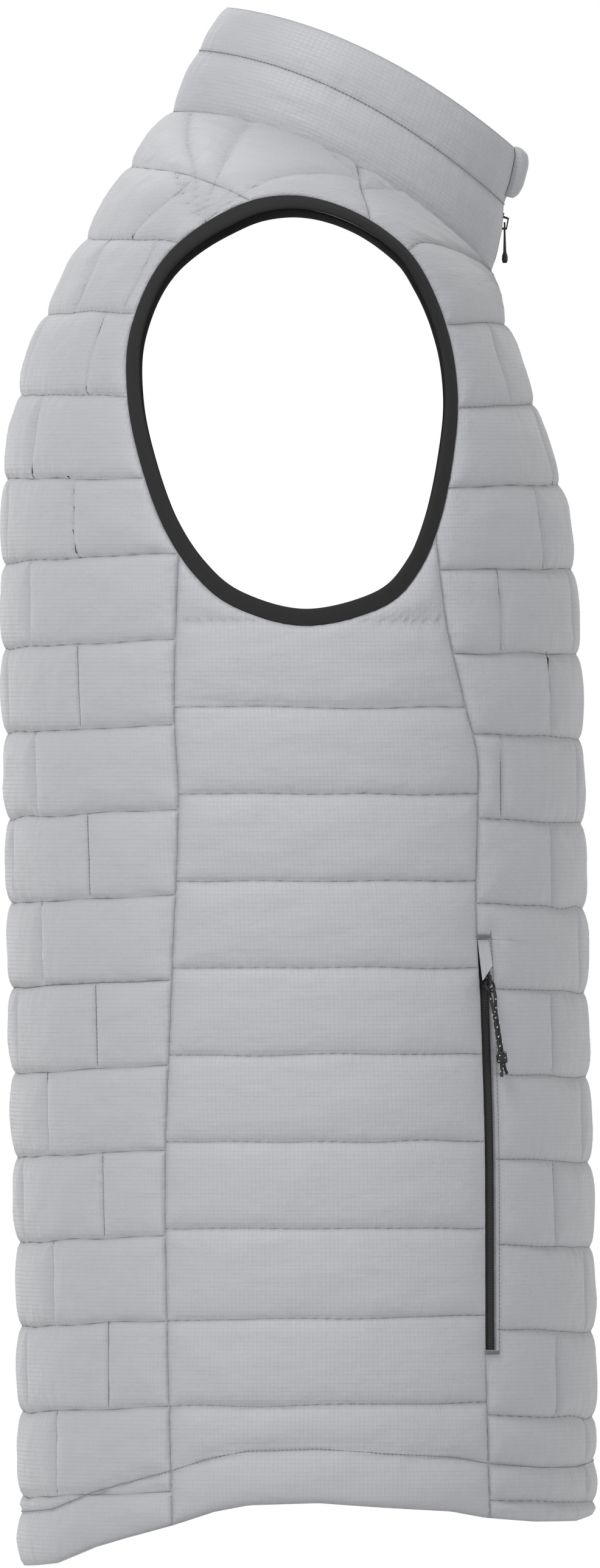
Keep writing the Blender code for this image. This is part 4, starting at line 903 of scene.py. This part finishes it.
def crowded(count, even):
    """Shares from 0 to 1, even or crowding towards both ends."""
    share = np.linspace(0, 1, count + 1)
    return share if even else share - CROWDING * np.sin(2 * math.pi * share)


def held_runs(line, shares, marks=()):
    """Runs at the shares of a line, with the nearest one moved onto each mark."""
    runs = shares * line.length
    for mark in marks:
        runs[1 + np.argmin(np.abs(runs[1:-1] - mark))] = mark
    return runs


def filled(foot, head, left, right, across, up):
    """Places over the patch between four edges; across holds a row of shares for each row of up."""
    u, v = across[:, :, None], up[:, None, None]
    low, high = foot.spot(across * foot.length), head.spot(across * head.length)
    ends = [(line.spot(0.0) * (1 - u) + line.spot(line.length) * u) for line in (foot, head)]
    cross = low * (1 - v) + high * v + left[:, None] * (1 - u) + right[:, None] * u
    return cross - ends[0] * (1 - v) - ends[1] * v


class Band:
    """A stretch of a panel between two lines, with the upright stitches that cross it."""

    def __init__(
        self, foot, head, side, rows, left=None, pairs=(), marks=(), left_marks=(), even=False
    ):
        self.foot, self.head, self.up = Line(foot), Line(head), crowded(rows, even)
        self.left = Line(straight(foot[0], head[0]) if left is None else left)
        self.right, self.marks, self.left_marks, self.pairs = Line(side), marks, left_marks, pairs

    def spots(self, columns):
        across = np.tile(np.linspace(0, 1, columns + 1), (len(self.up), 1))
        for low, high in self.pairs:
            low, high = low / self.foot.length, high / self.head.length
            column = int(round((low + high) / 2 * columns))
            if 0 < column < columns:
                across[:, column] = low + (high - low) * self.up
        left = self.left.spot(held_runs(self.left, self.up, self.left_marks))
        right = self.right.spot(held_runs(self.right, self.up, self.marks))
        return filled(self.foot, self.head, left, right, across, self.up)


def flat_cloth(bands, columns):
    """One flat grid over all the bands of a panel, in turn and level."""
    spots = np.vstack([band.spots(columns)[1 if k else 0:] for k, band in enumerate(bands)])
    shape = bmesh.new()
    count = len(spots) - 1
    bmesh.ops.create_grid(shape, x_segments=columns, y_segments=count, size=0.5)
    for vert in shape.verts:
        column, row = round((vert.co.x + 0.5) * columns), round((vert.co.y + 0.5) * count)
        vert.co = (*spots[row, column], 0.0)
    return shape


def ripples(metres, wide, high, layer):
    """Noise over cloth places, with ripples so wide and so high."""
    return np.array([noise.noise(Vector((x / wide, y / high, layer))) for x, y in metres])


def rise_over(near, metres):
    """How high padding stands over each place, from its distance to the nearest stitch."""
    reach = near.min(axis=1)
    pad = 1 - (1 - np.minimum(reach / PAD_REACH, 1)) ** 2
    rise = CREASE_RISE * (1 - np.exp(-reach / CREASE_REACH)) + PAD_RISE * pad
    spread = np.exp(-reach / PUCKER_REACH) * (1 - np.exp(-reach / PUCKER_START))
    by_rows = ripples(metres, PUCKER_WIDTH, PUCKER_LENGTH, 0.0)
    by_uprights = ripples(metres, PUCKER_LENGTH, PUCKER_WIDTH, 5.0)
    puckers = np.where(near[:, 0] <= near[:, 1], by_rows, by_uprights)
    folds = ripples(metres, FOLD_WIDTH, FOLD_HEIGHT, 9.0)
    return rise + PUCKER_RISE * spread * puckers + FOLD_RISE * pad * folds


def doubled(shape):
    """Gives a flat shape a second layer. Its places, and which of them are on that layer."""
    bmesh.ops.solidify(shape, geom=shape.faces[:], thickness=1.0)
    flat = np.array([vert.co for vert in shape.verts])
    return flat, np.abs(flat[:, 2]) > 0.5


def distances(points, lines):
    tree = tree_of(lines)
    return [tree.find(point)[2] for point in points]


def quilted(name, shape, lines, material, mirror=1, flattened=()):
    """A quilted wall from a flat grid: raised outside, flattened by some lines, plain inside."""
    flat, inner = doubled(shape)
    base, normals = BODY.point(flat[:, 0], flat[:, 1]), BODY.normal(flat[:, 0], flat[:, 1])
    near = np.column_stack([distances(base, group) for group in lines])
    metres = cloth_metres(flat[:, 0], flat[:, 1])
    rise = rise_over(near, metres)
    if len(flattened):
        beside = np.array(distances(base, flattened))
        rise = rise * (1 - FLATTENED_SHARE * np.exp(-beside / FLATTENED_REACH))
    rise = np.where(inner, -WALL_INSIDE, WALL_OUTSIDE + rise)
    points = base + normals * rise[:, None]
    return cloth_object(name, shape, points, material, metres, near, mirror)


def placed(shape, points, mirror=1):
    """Moves a shape's vertices to points."""
    for vert, point in zip(shape.verts, points):
        vert.co = (mirror * point[0], point[1], point[2])


def outward(shape):
    """Turns every face of a closed shape outward."""
    bmesh.ops.recalc_face_normals(shape, faces=shape.faces)
    if shape.calc_volume(signed=True) < 0:
        bmesh.ops.reverse_faces(shape, faces=shape.faces)


def cloth_object(name, shape, points, material, metres, near=None, mirror=1):
    """Cloth from a shape, with its weave and its distances to the stitches kept on it."""
    placed(shape, points, mirror)
    outward(shape)
    obj = linked(name, shape)
    mesh = obj.data
    mesh.materials.append(material)
    corners = np.empty(len(mesh.loops), np.int32)
    mesh.loops.foreach_get("vertex_index", corners)
    mesh.uv_layers.new(name="Cloth").data.foreach_set("uv", metres[corners].ravel())
    if near is not None:
        for column, (kept, *_) in zip(near.T, GATHERS):
            mesh.attributes.new(kept, "FLOAT", "POINT").data.foreach_set("value", column)
    return obj


def worn(obj, body="vest", replaces=()):
    """Fixes a finished piece to its body and hides the model parts that it replaces."""
    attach(obj, body)
    if replaces:
        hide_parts(*replaces)
    return obj


def cord_curve(name, runs, radius, material, sides=0):
    """Round threads or cords, one through each run of points, as one piece."""
    data = bpy.data.curves.new(name, "CURVE")
    data.dimensions, data.use_fill_caps = "3D", True
    data.bevel_depth, data.bevel_resolution = radius, sides
    for points in runs:
        spline = data.splines.new("POLY")
        spline.points.add(len(points) - 1)
        for target, point in zip(spline.points, points):
            target.co = (*point, 1.0)
    data.materials.append(material)
    obj = bpy.data.objects.new(name, data)
    bpy.context.scene.collection.objects.link(obj)
    return obj


def threads(name, dashes, radius, material):
    """Short straight lengths, each from one point to another, as one piece."""
    return worn(cord_curve(name, dashes, radius, material))


def stitches_on(spots, rise, loft=BODY, margin=0.0):
    """The stitches along one line of a loft, at a height over it."""
    line = Line(spots, loft)
    starts = np.arange(margin, line.length - STITCH_LENGTH, STITCH_PITCH)
    ends = []
    for shift in (0.0, STITCH_LENGTH):
        places = line.spot(starts + shift)
        ends.append(loft.point(*places.T) + loft.normal(*places.T) * rise)
    return list(zip(*ends))


def mirrored(dashes, mirror=-1):
    return [(a * (mirror, 1, 1), b * (mirror, 1, 1)) for a, b in dashes]


def panel_dashes(rows, hem, ups=()):
    """The stitches along a panel's rows, its hem line and its uprights."""
    dashes = [dash for spots in rows for dash in stitches_on(spots, ROW_THREAD)]
    dashes += stitches_on(hem, HEM_THREAD)
    for spots in ups:
        dashes += stitches_on(spots, UPRIGHT_THREAD, margin=UPRIGHT_MARGIN)
    return dashes


def pair_of_panels(panel, bands, lines, dashes, material, thread, beside):
    """Both panels of a kind, with their stitches, flattened beside a line."""
    for side, mirror in SIDES:
        shape = flat_cloth(bands, COLUMNS[panel])
        piece = quilted(f"{panel}_cloth_{side}", shape, lines, material, mirror, [beside])
        worn(piece, replaces=[f"{panel}_panel_{side}"])
        seams = threads(f"{panel}_stitches_{side}", mirrored(dashes, mirror), THREAD_RADIUS, thread)


def hem_line(start, end, lift=0.0):
    turns = np.linspace(start, end, 160)
    return np.column_stack([turns, hem_levels(turns) + lift])


def uprights_of(rows, bands):
    """Every upright stitch line of the panel, from its row below to its row above."""
    found = []
    for low, high, pairs in zip(rows, rows[1:], bands):
        low, high = Line(low), Line(high)
        found += [straight(low.spot(a), high.spot(b), 8) for a, b in pairs]
    return found


def edge_spans(seam, hole, marks):
    """The outer edge of each band of a panel: up its side seam, then along the armhole."""
    edge = Line(np.vstack([seam.spots, hole[1:]]))
    runs = [0.0, *marks, edge.length]
    return edge, [between(edge, a, b) for a, b in zip(runs, runs[1:])], runs


def back_cloth(cut, material, thread):
    """The back with its yoke, from the hem to the neck and both shoulder seams."""
    rows = cut.back_rows
    pairs = [back_bricks(rows, band) for band in range(len(rows) - 1)]
    hole = between(cut.armhole, 0, cut.back_corner)[::-1]
    edge, spans, runs = edge_spans(cut.back_seam, hole, cut.back_ends)
    corner = cut.back_seam.length
    foot = hem_line(0.0, cut.back_seam.spots[0, 0])
    bands = [Band(foot, rows[0], spans[0], 16, even=True)]
    bands[0].foot.spots[-1] = cut.back_seam.spots[0]
    for k, span in enumerate(spans[1:-1]):
        held = [corner - runs[k + 1]] if runs[k + 1] < corner < runs[k + 2] else []
        bands.append(Band(rows[k], rows[k + 1], span, 12 if k else 16,
                          pairs=pairs[k], marks=held, even=not k))
    neck = between(cut.neck, 0, cut.neck_corner)
    left = np.vstack([[rows[-1][0]], neck])
    bands.append(Band(rows[-1], cut.shoulder.spots, spans[-1], 40, left=left,
                      left_marks=[Line(left[:2]).length], even=True))
    shape = flat_cloth(bands, COLUMNS["back"])
    bmesh.ops.mirror(shape, geom=shape.verts[:] + shape.edges[:] + shape.faces[:], axis="X",
                     merge_dist=1e-6)
    across, ups = strap_lines(cut)
    hem = hem_line(0.0, cut.back_seam.spot(cut.hem_marks[0])[0], HEM_BAND)
    ups += uprights_of(rows, pairs)
    outline = [foot, edge.spots, cut.shoulder.spots, neck]
    lines = [both_sides(group) for group in ([*rows, *across, hem], ups, outline)]
    piece = worn(quilted("back_cloth", shape, lines, material), replaces=["back_panel"])
    dashes = panel_dashes([*rows, *across], hem, ups)
    threads("back_stitches", dashes + mirrored(dashes), THREAD_RADIUS, thread)


def wavered_rows(rows, seed):
    """Stitch rows that each wander a little between their ends, as sewn by hand."""
    found = []
    for k, row in enumerate(rows):
        share, layer = np.linspace(0, 1, len(row)), seed + ROW_SEED_STEP * k
        drift = [noise.noise(Vector((turn * ROW_WANDER_RATE, layer, 0.0))) for turn in row[:, 0]]
        moved = row.copy()
        moved[:, 1] += ROW_WANDER * np.array(drift) * np.minimum(1, 12 * share * (1 - share))
        found.append(moved)
    return found


def both_sides(lines):
    return [*lines, *[line * LEFT for line in lines]]


def strap_lines(cut):
    """The rows and the upright stitches over the right shoulder blade, up to the shoulder seam."""
    foot = Line(cut.back_rows[-1])
    at_neck = [cut.neck.spot(run) for run in cut.neck_marks]
    row = Line(straight(at_neck[0], cut.armhole.spot(cut.strap_mark)))
    seam_end = cut.shoulder.spot(cut.last_row)
    ends = {
        "row": lambda y: row.spot(run_at_y(row, y)),
        "neck": lambda y: at_neck[2],
        "seam": lambda y: seam_end,
    }
    ups = []
    for low, high, head in STRAP_BRICKS:
        start = foot.spot(run_at_y(foot, low)) if head == "row" else ends["row"](low)
        ups.append(straight(start, ends[head](high), 12))
    return [row.spots, straight(at_neck[1], seam_end, 20)], ups


def front_cloth(cut, material, thread):
    """The fronts, each from the hem to its shoulder seam, cut away round the pocket's opening."""
    rows, seam = cut.front_rows, cut.front_seam
    pairs = [front_bricks(rows, band) for band in range(len(rows) - 1)]
    pocket = seam.run[(seam.run > cut.pocket[0]) & (seam.run < cut.pocket[1])]
    notch = cut.pocket_edge(np.concatenate([[cut.pocket[0]], pocket, [cut.pocket[1]]]))
    below, above = between(seam, 0, cut.pocket[0]), between(seam, cut.pocket[1], seam.length)
    side = Line(np.vstack([below, notch, above]))
    hole = between(cut.armhole, cut.front_corner, cut.armhole.length)
    marks = [nearest_run(side, row[-1]) for row in rows[: len(cut.front_marks)]]
    marks += [side.length + run - seam.length for run in cut.front_ends[len(marks):]]
    edge, spans, runs = edge_spans(side, hole, marks)
    corners = [Line(below).length, Line(below).length + POCKET_WIDTH]
    corners += [corners[1] + Line(notch).length, corners[1] + Line(notch).length + POCKET_WIDTH]
    corners.append(side.length)
    zip_foot = float(BODY.beside_front(float(hem_levels(1.0)), ZIP_HALF_GAP))
    foot = hem_line(zip_foot, seam.spots[0, 0])
    bands = [Band(foot, rows[0], spans[0], 12, even=True)]
    for k, span in enumerate(spans[1:-1]):
        held = [c - runs[k + 1] for c in corners if runs[k + 1] + 1e-4 < c < runs[k + 2] - 1e-4]
        bands.append(Band(rows[k], rows[k + 1], span, 14, pairs=pairs[k], marks=held, even=not k))
    zip_top = beside_zip(float(rows[-1][0, 1]), 12)
    neck = between(cut.neck, cut.neck_corner, cut.neck.length)[::-1]
    left = np.vstack([zip_top, neck[1:]])
    bands.append(Band(rows[-1], cut.shoulder.spots, spans[-1], 34, left=left,
                      left_marks=[Line(zip_top).length], even=True))
    last_row = straight(cut.neck.spot(cut.neck_marks[3]), cut.shoulder.spot(cut.front_last), 20)
    hem = hem_line(zip_foot, seam.spot(cut.hem_marks[1])[0], HEM_BAND)
    ups = uprights_of(rows, pairs)
    outline = [foot, edge.spots, cut.shoulder.spots, neck, beside_zip(float(hem_levels(1.0)), 200)]
    dashes = panel_dashes([*rows, last_row], hem, ups)
    lines = [[*rows, last_row, hem], ups, outline]
    pair_of_panels("front", bands, lines, dashes, material, thread, notch)


def beside_zip(low, count):
    """The front's edge beside the zip, from a level up to the neck."""
    levels = np.linspace(low, BODY.high, count)
    return np.column_stack([BODY.beside_front(levels, ZIP_HALF_GAP), levels])


def nearest_run(line, spot):
    """The run along a line nearest to a place."""
    dense = np.linspace(0, line.length, 4000)
    gap = np.linalg.norm(BODY.point(*line.spot(dense).T) - BODY.point(*spot), axis=1)
    return float(dense[np.argmin(gap)])


def side_cloth(cut, material, thread):
    """The side panels, each between its two seams, from the hem to the foot of the armhole."""
    marks, seams = cut.side_marks, (cut.back_seam, cut.front_seam)
    rows = [straight(cut.back_seam.spot(a), cut.front_seam.spot(b)) for a, b in zip(*marks)][:-1]
    rows = wavered_rows(rows, SIDE_SEED)
    edges = [[between(s, a, b) for a, b in zip([0.0, *m], m[:-1])] for s, m in zip(seams, marks)]
    tops = [between(s, m[-2], s.length) for s, m in zip(seams, marks)]
    foot = hem_line(cut.back_seam.spots[0, 0], cut.front_seam.spots[0, 0])
    arc = between(cut.armhole, cut.back_corner, cut.front_corner)
    bands = [Band(foot, rows[0], edges[1][0], 16, left=edges[0][0], even=True)]
    for k in range(len(rows) - 1):
        bands.append(Band(rows[k], rows[k + 1], edges[1][k + 1], 12, left=edges[0][k + 1]))
    bands.append(Band(rows[-1], arc, tops[1], 16, left=tops[0], even=True))
    upper = [straight(s.spot(m[-1]), cut.armhole.spot(top), 12)
             for s, m, top in zip(seams, marks, cut.side_top)]
    hem = hem_line(*(s.spot(mark)[0] for s, mark in zip(seams, cut.hem_marks)), HEM_BAND)
    lines = [[*rows, *upper, hem], [], [foot, arc, *(s.spots for s in seams)]]
    opening = between(cut.front_seam, *cut.pocket)
    dashes = panel_dashes([*rows, *upper], hem)
    pair_of_panels("side", bands, lines, dashes, material, thread, opening)


def grid_over(columns, rows):
    """A flat grid from 0 to 1 each way."""
    shape = bmesh.new()
    bmesh.ops.create_grid(shape, x_segments=columns, y_segments=rows, size=0.5)
    bmesh.ops.translate(shape, verts=shape.verts, vec=(0.5, 0.5, 0.0))
    return shape


def bindings(cut, material):
    """The stretch bands round the armholes, with a rounded free edge."""
    soft = closed_curve(BINDING_PROFILE, 4)
    spots = cut.armhole.spot(np.linspace(0, cut.armhole.length, BINDING_STEPS + 1))
    points, normals = BODY.point(*spots.T), BODY.normal(*spots.T)
    points[-1], normals[-1] = points[0], normals[0]
    ahead = np.roll(points[:-1], -1, axis=0) - np.roll(points[:-1], 1, axis=0)
    into = np.cross(normals, np.vstack([ahead, ahead[:1]]))
    into /= np.linalg.norm(into, axis=1, keepdims=True)
    for side, mirror in SIDES:
        shape = grid_over(BINDING_STEPS, len(soft))
        places = np.array([vert.co for vert in shape.verts])
        i = np.rint(places[:, 0] * BINDING_STEPS).astype(int)
        j = np.rint(places[:, 1] * len(soft)).astype(int) % len(soft)
        placed(shape, points[i] + into[i] * soft[j, :1] + normals[i] * soft[j, 1:], mirror)
        bmesh.ops.remove_doubles(shape, verts=shape.verts, dist=1e-6)
        outward(shape)
        obj = linked(f"binding_{side}", shape)
        obj.data.materials.append(material)
        worn(obj, replaces=[f"armhole_binding_{side}"])


def collar_cloth(material, thread):
    """The stand collar, padded each side of its one stitch line."""
    shape = grid_over(260, 30)
    flat, inner = doubled(shape)
    side, share = flat[:, 0] * 2 - 1, flat[:, 1]
    gap = float(np.mean(neck_gaps(np.linspace(0.1, 0.9, 9))))
    level = gap + share * (COLLAR.high - gap)
    turn = side * COLLAR.beside_front(level, ZIP_HALF_GAP)
    heights = smooth_columns(COLLAR_WALL)(share)
    metres = np.column_stack([side * COLLAR_HALF_LENGTH, share * COLLAR.high])
    ribs = ripples(metres, *RIB_SIZE, 2.0)
    dip = np.abs(share - COLLAR_STITCH_SHARE) * COLLAR.high
    free = np.minimum(share * (1 - share) * 4, 1)
    raised = heights[:, 0] - COLLAR_DIP * np.exp(-dip / COLLAR_DIP_REACH)
    raised = raised + RIB_RISE * ribs * free * (RIB_SHARE + np.exp(-dip / RIB_REACH))
    near = np.column_stack([dip, np.full(len(dip), 0.05), np.minimum(share, 1 - share) * COLLAR.high])
    rise = np.where(inner, heights[:, 1], raised)
    points = COLLAR.point(turn, level) + COLLAR.normal(turn, level) * rise[:, None]
    obj = cloth_object("collar_cloth", shape, points, material, metres, near)
    worn(obj, replaces=["collar"])
    level = gap + COLLAR_STITCH_SHARE * (COLLAR.high - gap)
    edge = float(COLLAR.beside_front(level, ZIP_HALF_GAP))
    dashes = stitches_on(straight((-edge, level), (edge, level), 400), COLLAR_THREAD, COLLAR)
    threads("collar_stitches", dashes, THREAD_RADIUS, thread)


def chin_guard_cloth(material):
    """The padded tab over the top of the zip."""
    back = COLLAR_WALL[2][1] + TRIM_GAP
    low, high = CHIN_GUARD_SIDE[0][0], CHIN_GUARD_SIDE[-1][0]
    shape = grid_over(36, 26)
    flat, inner = doubled(shape)
    x, share = (flat[:, 0] * 2 - 1) * CHIN_GUARD_HALF, low + flat[:, 1] * (high - low)
    dome = DOME_EDGE + (1 - DOME_EDGE) * (1 - (x / CHIN_GUARD_HALF) ** 4)
    under = smooth_columns(COLLAR_WALL)(np.minimum(share, 1.0))[:, 0] + TRIM_GAP
    rise = np.where(inner, under, back + smooth_columns(CHIN_GUARD_SIDE)(share)[:, 0] * dome)
    level = np.minimum(share, 1.0) * COLLAR.high
    turn = np.copysign(COLLAR.beside_front(level, np.abs(x)), -x)
    points = COLLAR.point(turn, level) + COLLAR.normal(turn, level) * rise[:, None]
    points[:, 2] += (share - np.minimum(share, 1.0)) * COLLAR.high
    metres = np.column_stack([x, share * COLLAR.high])
    obj = cloth_object("chin_guard_cloth", shape, points, material, metres)
    worn(obj, replaces=["chin_guard"])


def pocket_threads(cut, thread):
    """The topstitching beside the pocket, and the bar tacks at its ends."""
    low, high = cut.pocket
    dashes = []
    for run in np.arange(low - 0.001, high + 0.006, STITCH_PITCH):
        dashes.append([
            pocket_place(cut, run + s, POCKET_WIDTH + TOPSTITCH_GAP, POCKET_THREAD)
            for s in (0, STITCH_LENGTH)
        ])
    for run in (low - TACK_GAP, high + TACK_GAP):
        for step in np.linspace(-TACK_SPREAD, TACK_SPREAD, 5):
            dashes.append([
                pocket_place(cut, run + step, at, TACK_THREAD)
                for at in (-TACK_REACH, POCKET_WIDTH + TACK_REACH)
            ])
    for side, mirror in SIDES:
        threads(f"pocket_stitches_{side}", mirrored(dashes, mirror), POCKET_THREAD_RADIUS, thread)


def zip_teeth(cut, plastic):
    """The teeth of the front zip and of both pocket zips."""
    dashes = []
    body = np.arange(float(hem_levels(1.0)) + 0.002, BODY.high - 0.004, TOOTH_PITCH)
    upper = np.arange(0.004, COLLAR.high * 0.97, TOOTH_PITCH)
    for loft, levels in ((BODY, body), (COLLAR, upper)):
        for level in levels:
            turns = [float(loft.beside_front(level, across)) for across in FRONT_TOOTH_ENDS]
            dashes.append([
                loft.point(turn, level) + loft.normal(turn, level) * FRONT_TOOTH_RISE for turn in turns
            ])
    threads("front_zip_teeth", dashes + mirrored(dashes), FRONT_TOOTH_RADIUS, plastic)
    ends = [POCKET_WIDTH / 2 + s * POCKET_TOOTH_HALF for s in (-1, 1)]
    runs = np.arange(cut.pocket[0] + 0.0015, cut.pocket[1] - 0.0015, TOOTH_PITCH)
    dashes = [[pocket_place(cut, run, at, POCKET_TOOTH_RISE) for at in ends] for run in runs]
    for side, mirror in SIDES:
        teeth = mirrored(dashes, mirror)
        threads(f"pocket_zip_teeth_{side}", teeth, POCKET_TOOTH_RADIUS, plastic)


def flecks(name, points, material, body):
    """Pale flecks woven into a cord, spiralling along it."""
    shape = bmesh.new()
    run = runs_along(points)
    size = Matrix.Diagonal((*FLECK_SIZE, 1))
    for k, at in enumerate(np.arange(0.001, run[-1] - 0.0005, FLECK_PITCH)):
        middle = Vector([np.interp(at, run, column) for column in points.T])
        ahead = Vector([np.interp(at + 0.0004, run, column) for column in points.T]) - middle
        turned = ahead.to_track_quat("Z", "Y")
        out = turned @ Vector((math.cos(k * FLECK_TURN), math.sin(k * FLECK_TURN), 0))
        place = Matrix.Translation(middle + out * CORD_RADIUS * FLECK_SINK)
        bmesh.ops.create_icosphere(
            shape, subdivisions=1, radius=1.0, matrix=place @ turned.to_matrix().to_4x4() @ size
        )
    obj = linked(name, shape)
    obj.data.materials.append(material)
    return worn(obj, body)


def pull_cords(cut, braid, fleck):
    """The cord through each pocket pull, and the barrel knot round its two strands."""
    crown = [(0.0, -2 * RING_RADIUS + CORD_RADIUS + RING_WIRE + TRIM_GAP, 0.0)]
    controls = np.array([*cord_path(-1)[::-1], *crown, *cord_path(1)])
    wraps = []
    for share in np.linspace(0, 1, 90):
        angle = share * 2 * math.pi * KNOT_TURNS
        middle = cord_middle(KNOT_DROP - (share * 2 - 1) * KNOT_WRAP_HALF)
        wraps.append(middle + (KNOT_REACH[0] * math.cos(angle), 0, KNOT_REACH[1] * math.sin(angle)))
    for side, mirror in SIDES:
        across = Matrix.Diagonal((mirror, 1, 1, 1))
        place = hanging(across @ pocket_frame(cut) @ across, POCKET_TEETH, RING_TILT)
        strand = controls * (mirror, 1, 1)
        run = runs_along(strand)
        path = smooth_columns(np.column_stack([run, strand]))(np.linspace(0, run[-1], 150))
        path = np.array([place @ Vector(p) for p in path])
        wound = np.array([place @ Vector(p * (mirror, 1, 1)) for p in wraps])
        body = f"pocket_pull_{side}"
        cord = cord_curve(f"pull_cord_{side}", [path], CORD_RADIUS, braid, 3)
        worn(cord, body, [f"pocket_cord_{side}"])
        knot = cord_curve(f"pull_knot_{side}", [wound], CORD_RADIUS * 1.1, braid, 3)
        worn(knot, body, [f"pocket_knot_{side}"])
        dots = [flecks(f"{name}_flecks_{side}", points, fleck, body)
                for name, points in (("cord", path), ("knot", wound))]
        leaves = tuple(place @ Vector(cord_middle(KNOT_DROP) * (mirror, 1, 1)))


studio()
CUT = Pattern()
CUT.back_rows = wavered_rows(CUT.back_rows, BACK_SEED)
CUT.front_rows = wavered_rows(CUT.front_rows, FRONT_SEED)
CLOTH = shell_cloth("grey_cloth", CLOTH_GREY, True)
TRIM_CLOTH = shell_cloth("grey_trim_cloth", CLOTH_GREY, False)
THREAD = plain_finish("grey_thread", (0.17, 0.17, 0.19), 0.6)
STRETCH = plain_finish("black_stretch", (0.008, 0.008, 0.009), 0.9, grain=0.00004, pitch=0.0008)
TAPE_CLOTH = plain_finish("black_tape", (0.012, 0.012, 0.013), 0.8, grain=0.00004, pitch=0.0006)
PLASTIC = plain_finish("black_teeth", (0.012, 0.012, 0.013), 0.45)
METAL = plain_finish("black_metal", (0.020, 0.020, 0.022), 0.38, 0.5)
PULL = plain_finish("black_pull", (0.014, 0.014, 0.015), 0.5)
BRAID = plain_finish("black_braid", (0.020, 0.020, 0.021), 0.85, grain=0.00006, pitch=0.0005)
FLECK = plain_finish("pale_fleck", (0.55, 0.55, 0.56), 0.7)
pull_cords(CUT, BRAID, FLECK)
back_cloth(CUT, CLOTH, THREAD)
front_cloth(CUT, CLOTH, THREAD)
side_cloth(CUT, CLOTH, THREAD)
bindings(CUT, STRETCH)
collar_cloth(CLOTH, THREAD)
chin_guard_cloth(TRIM_CLOTH)
pocket_threads(CUT, THREAD)
zip_teeth(CUT, PLASTIC)

FINISHES = (
    # finish, the pieces that have it
    (METAL, "front_zip_slider", "pocket_slider_right", "pocket_slider_left"),
    (METAL, "pocket_pull_right", "pocket_pull_left"),
    (PULL, "front_zip_pull"),
    (TAPE_CLOTH, "front_zip_tape_right", "front_zip_tape_left"),
    (TAPE_CLOTH, "pocket_zip_right", "pocket_zip_left"),
    (TRIM_CLOTH, "pocket_garage_right", "pocket_garage_left"),
)
for finish, *pieces in FINISHES:
    for piece in pieces:
        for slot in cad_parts[piece].material_slots:
            slot.material = finish
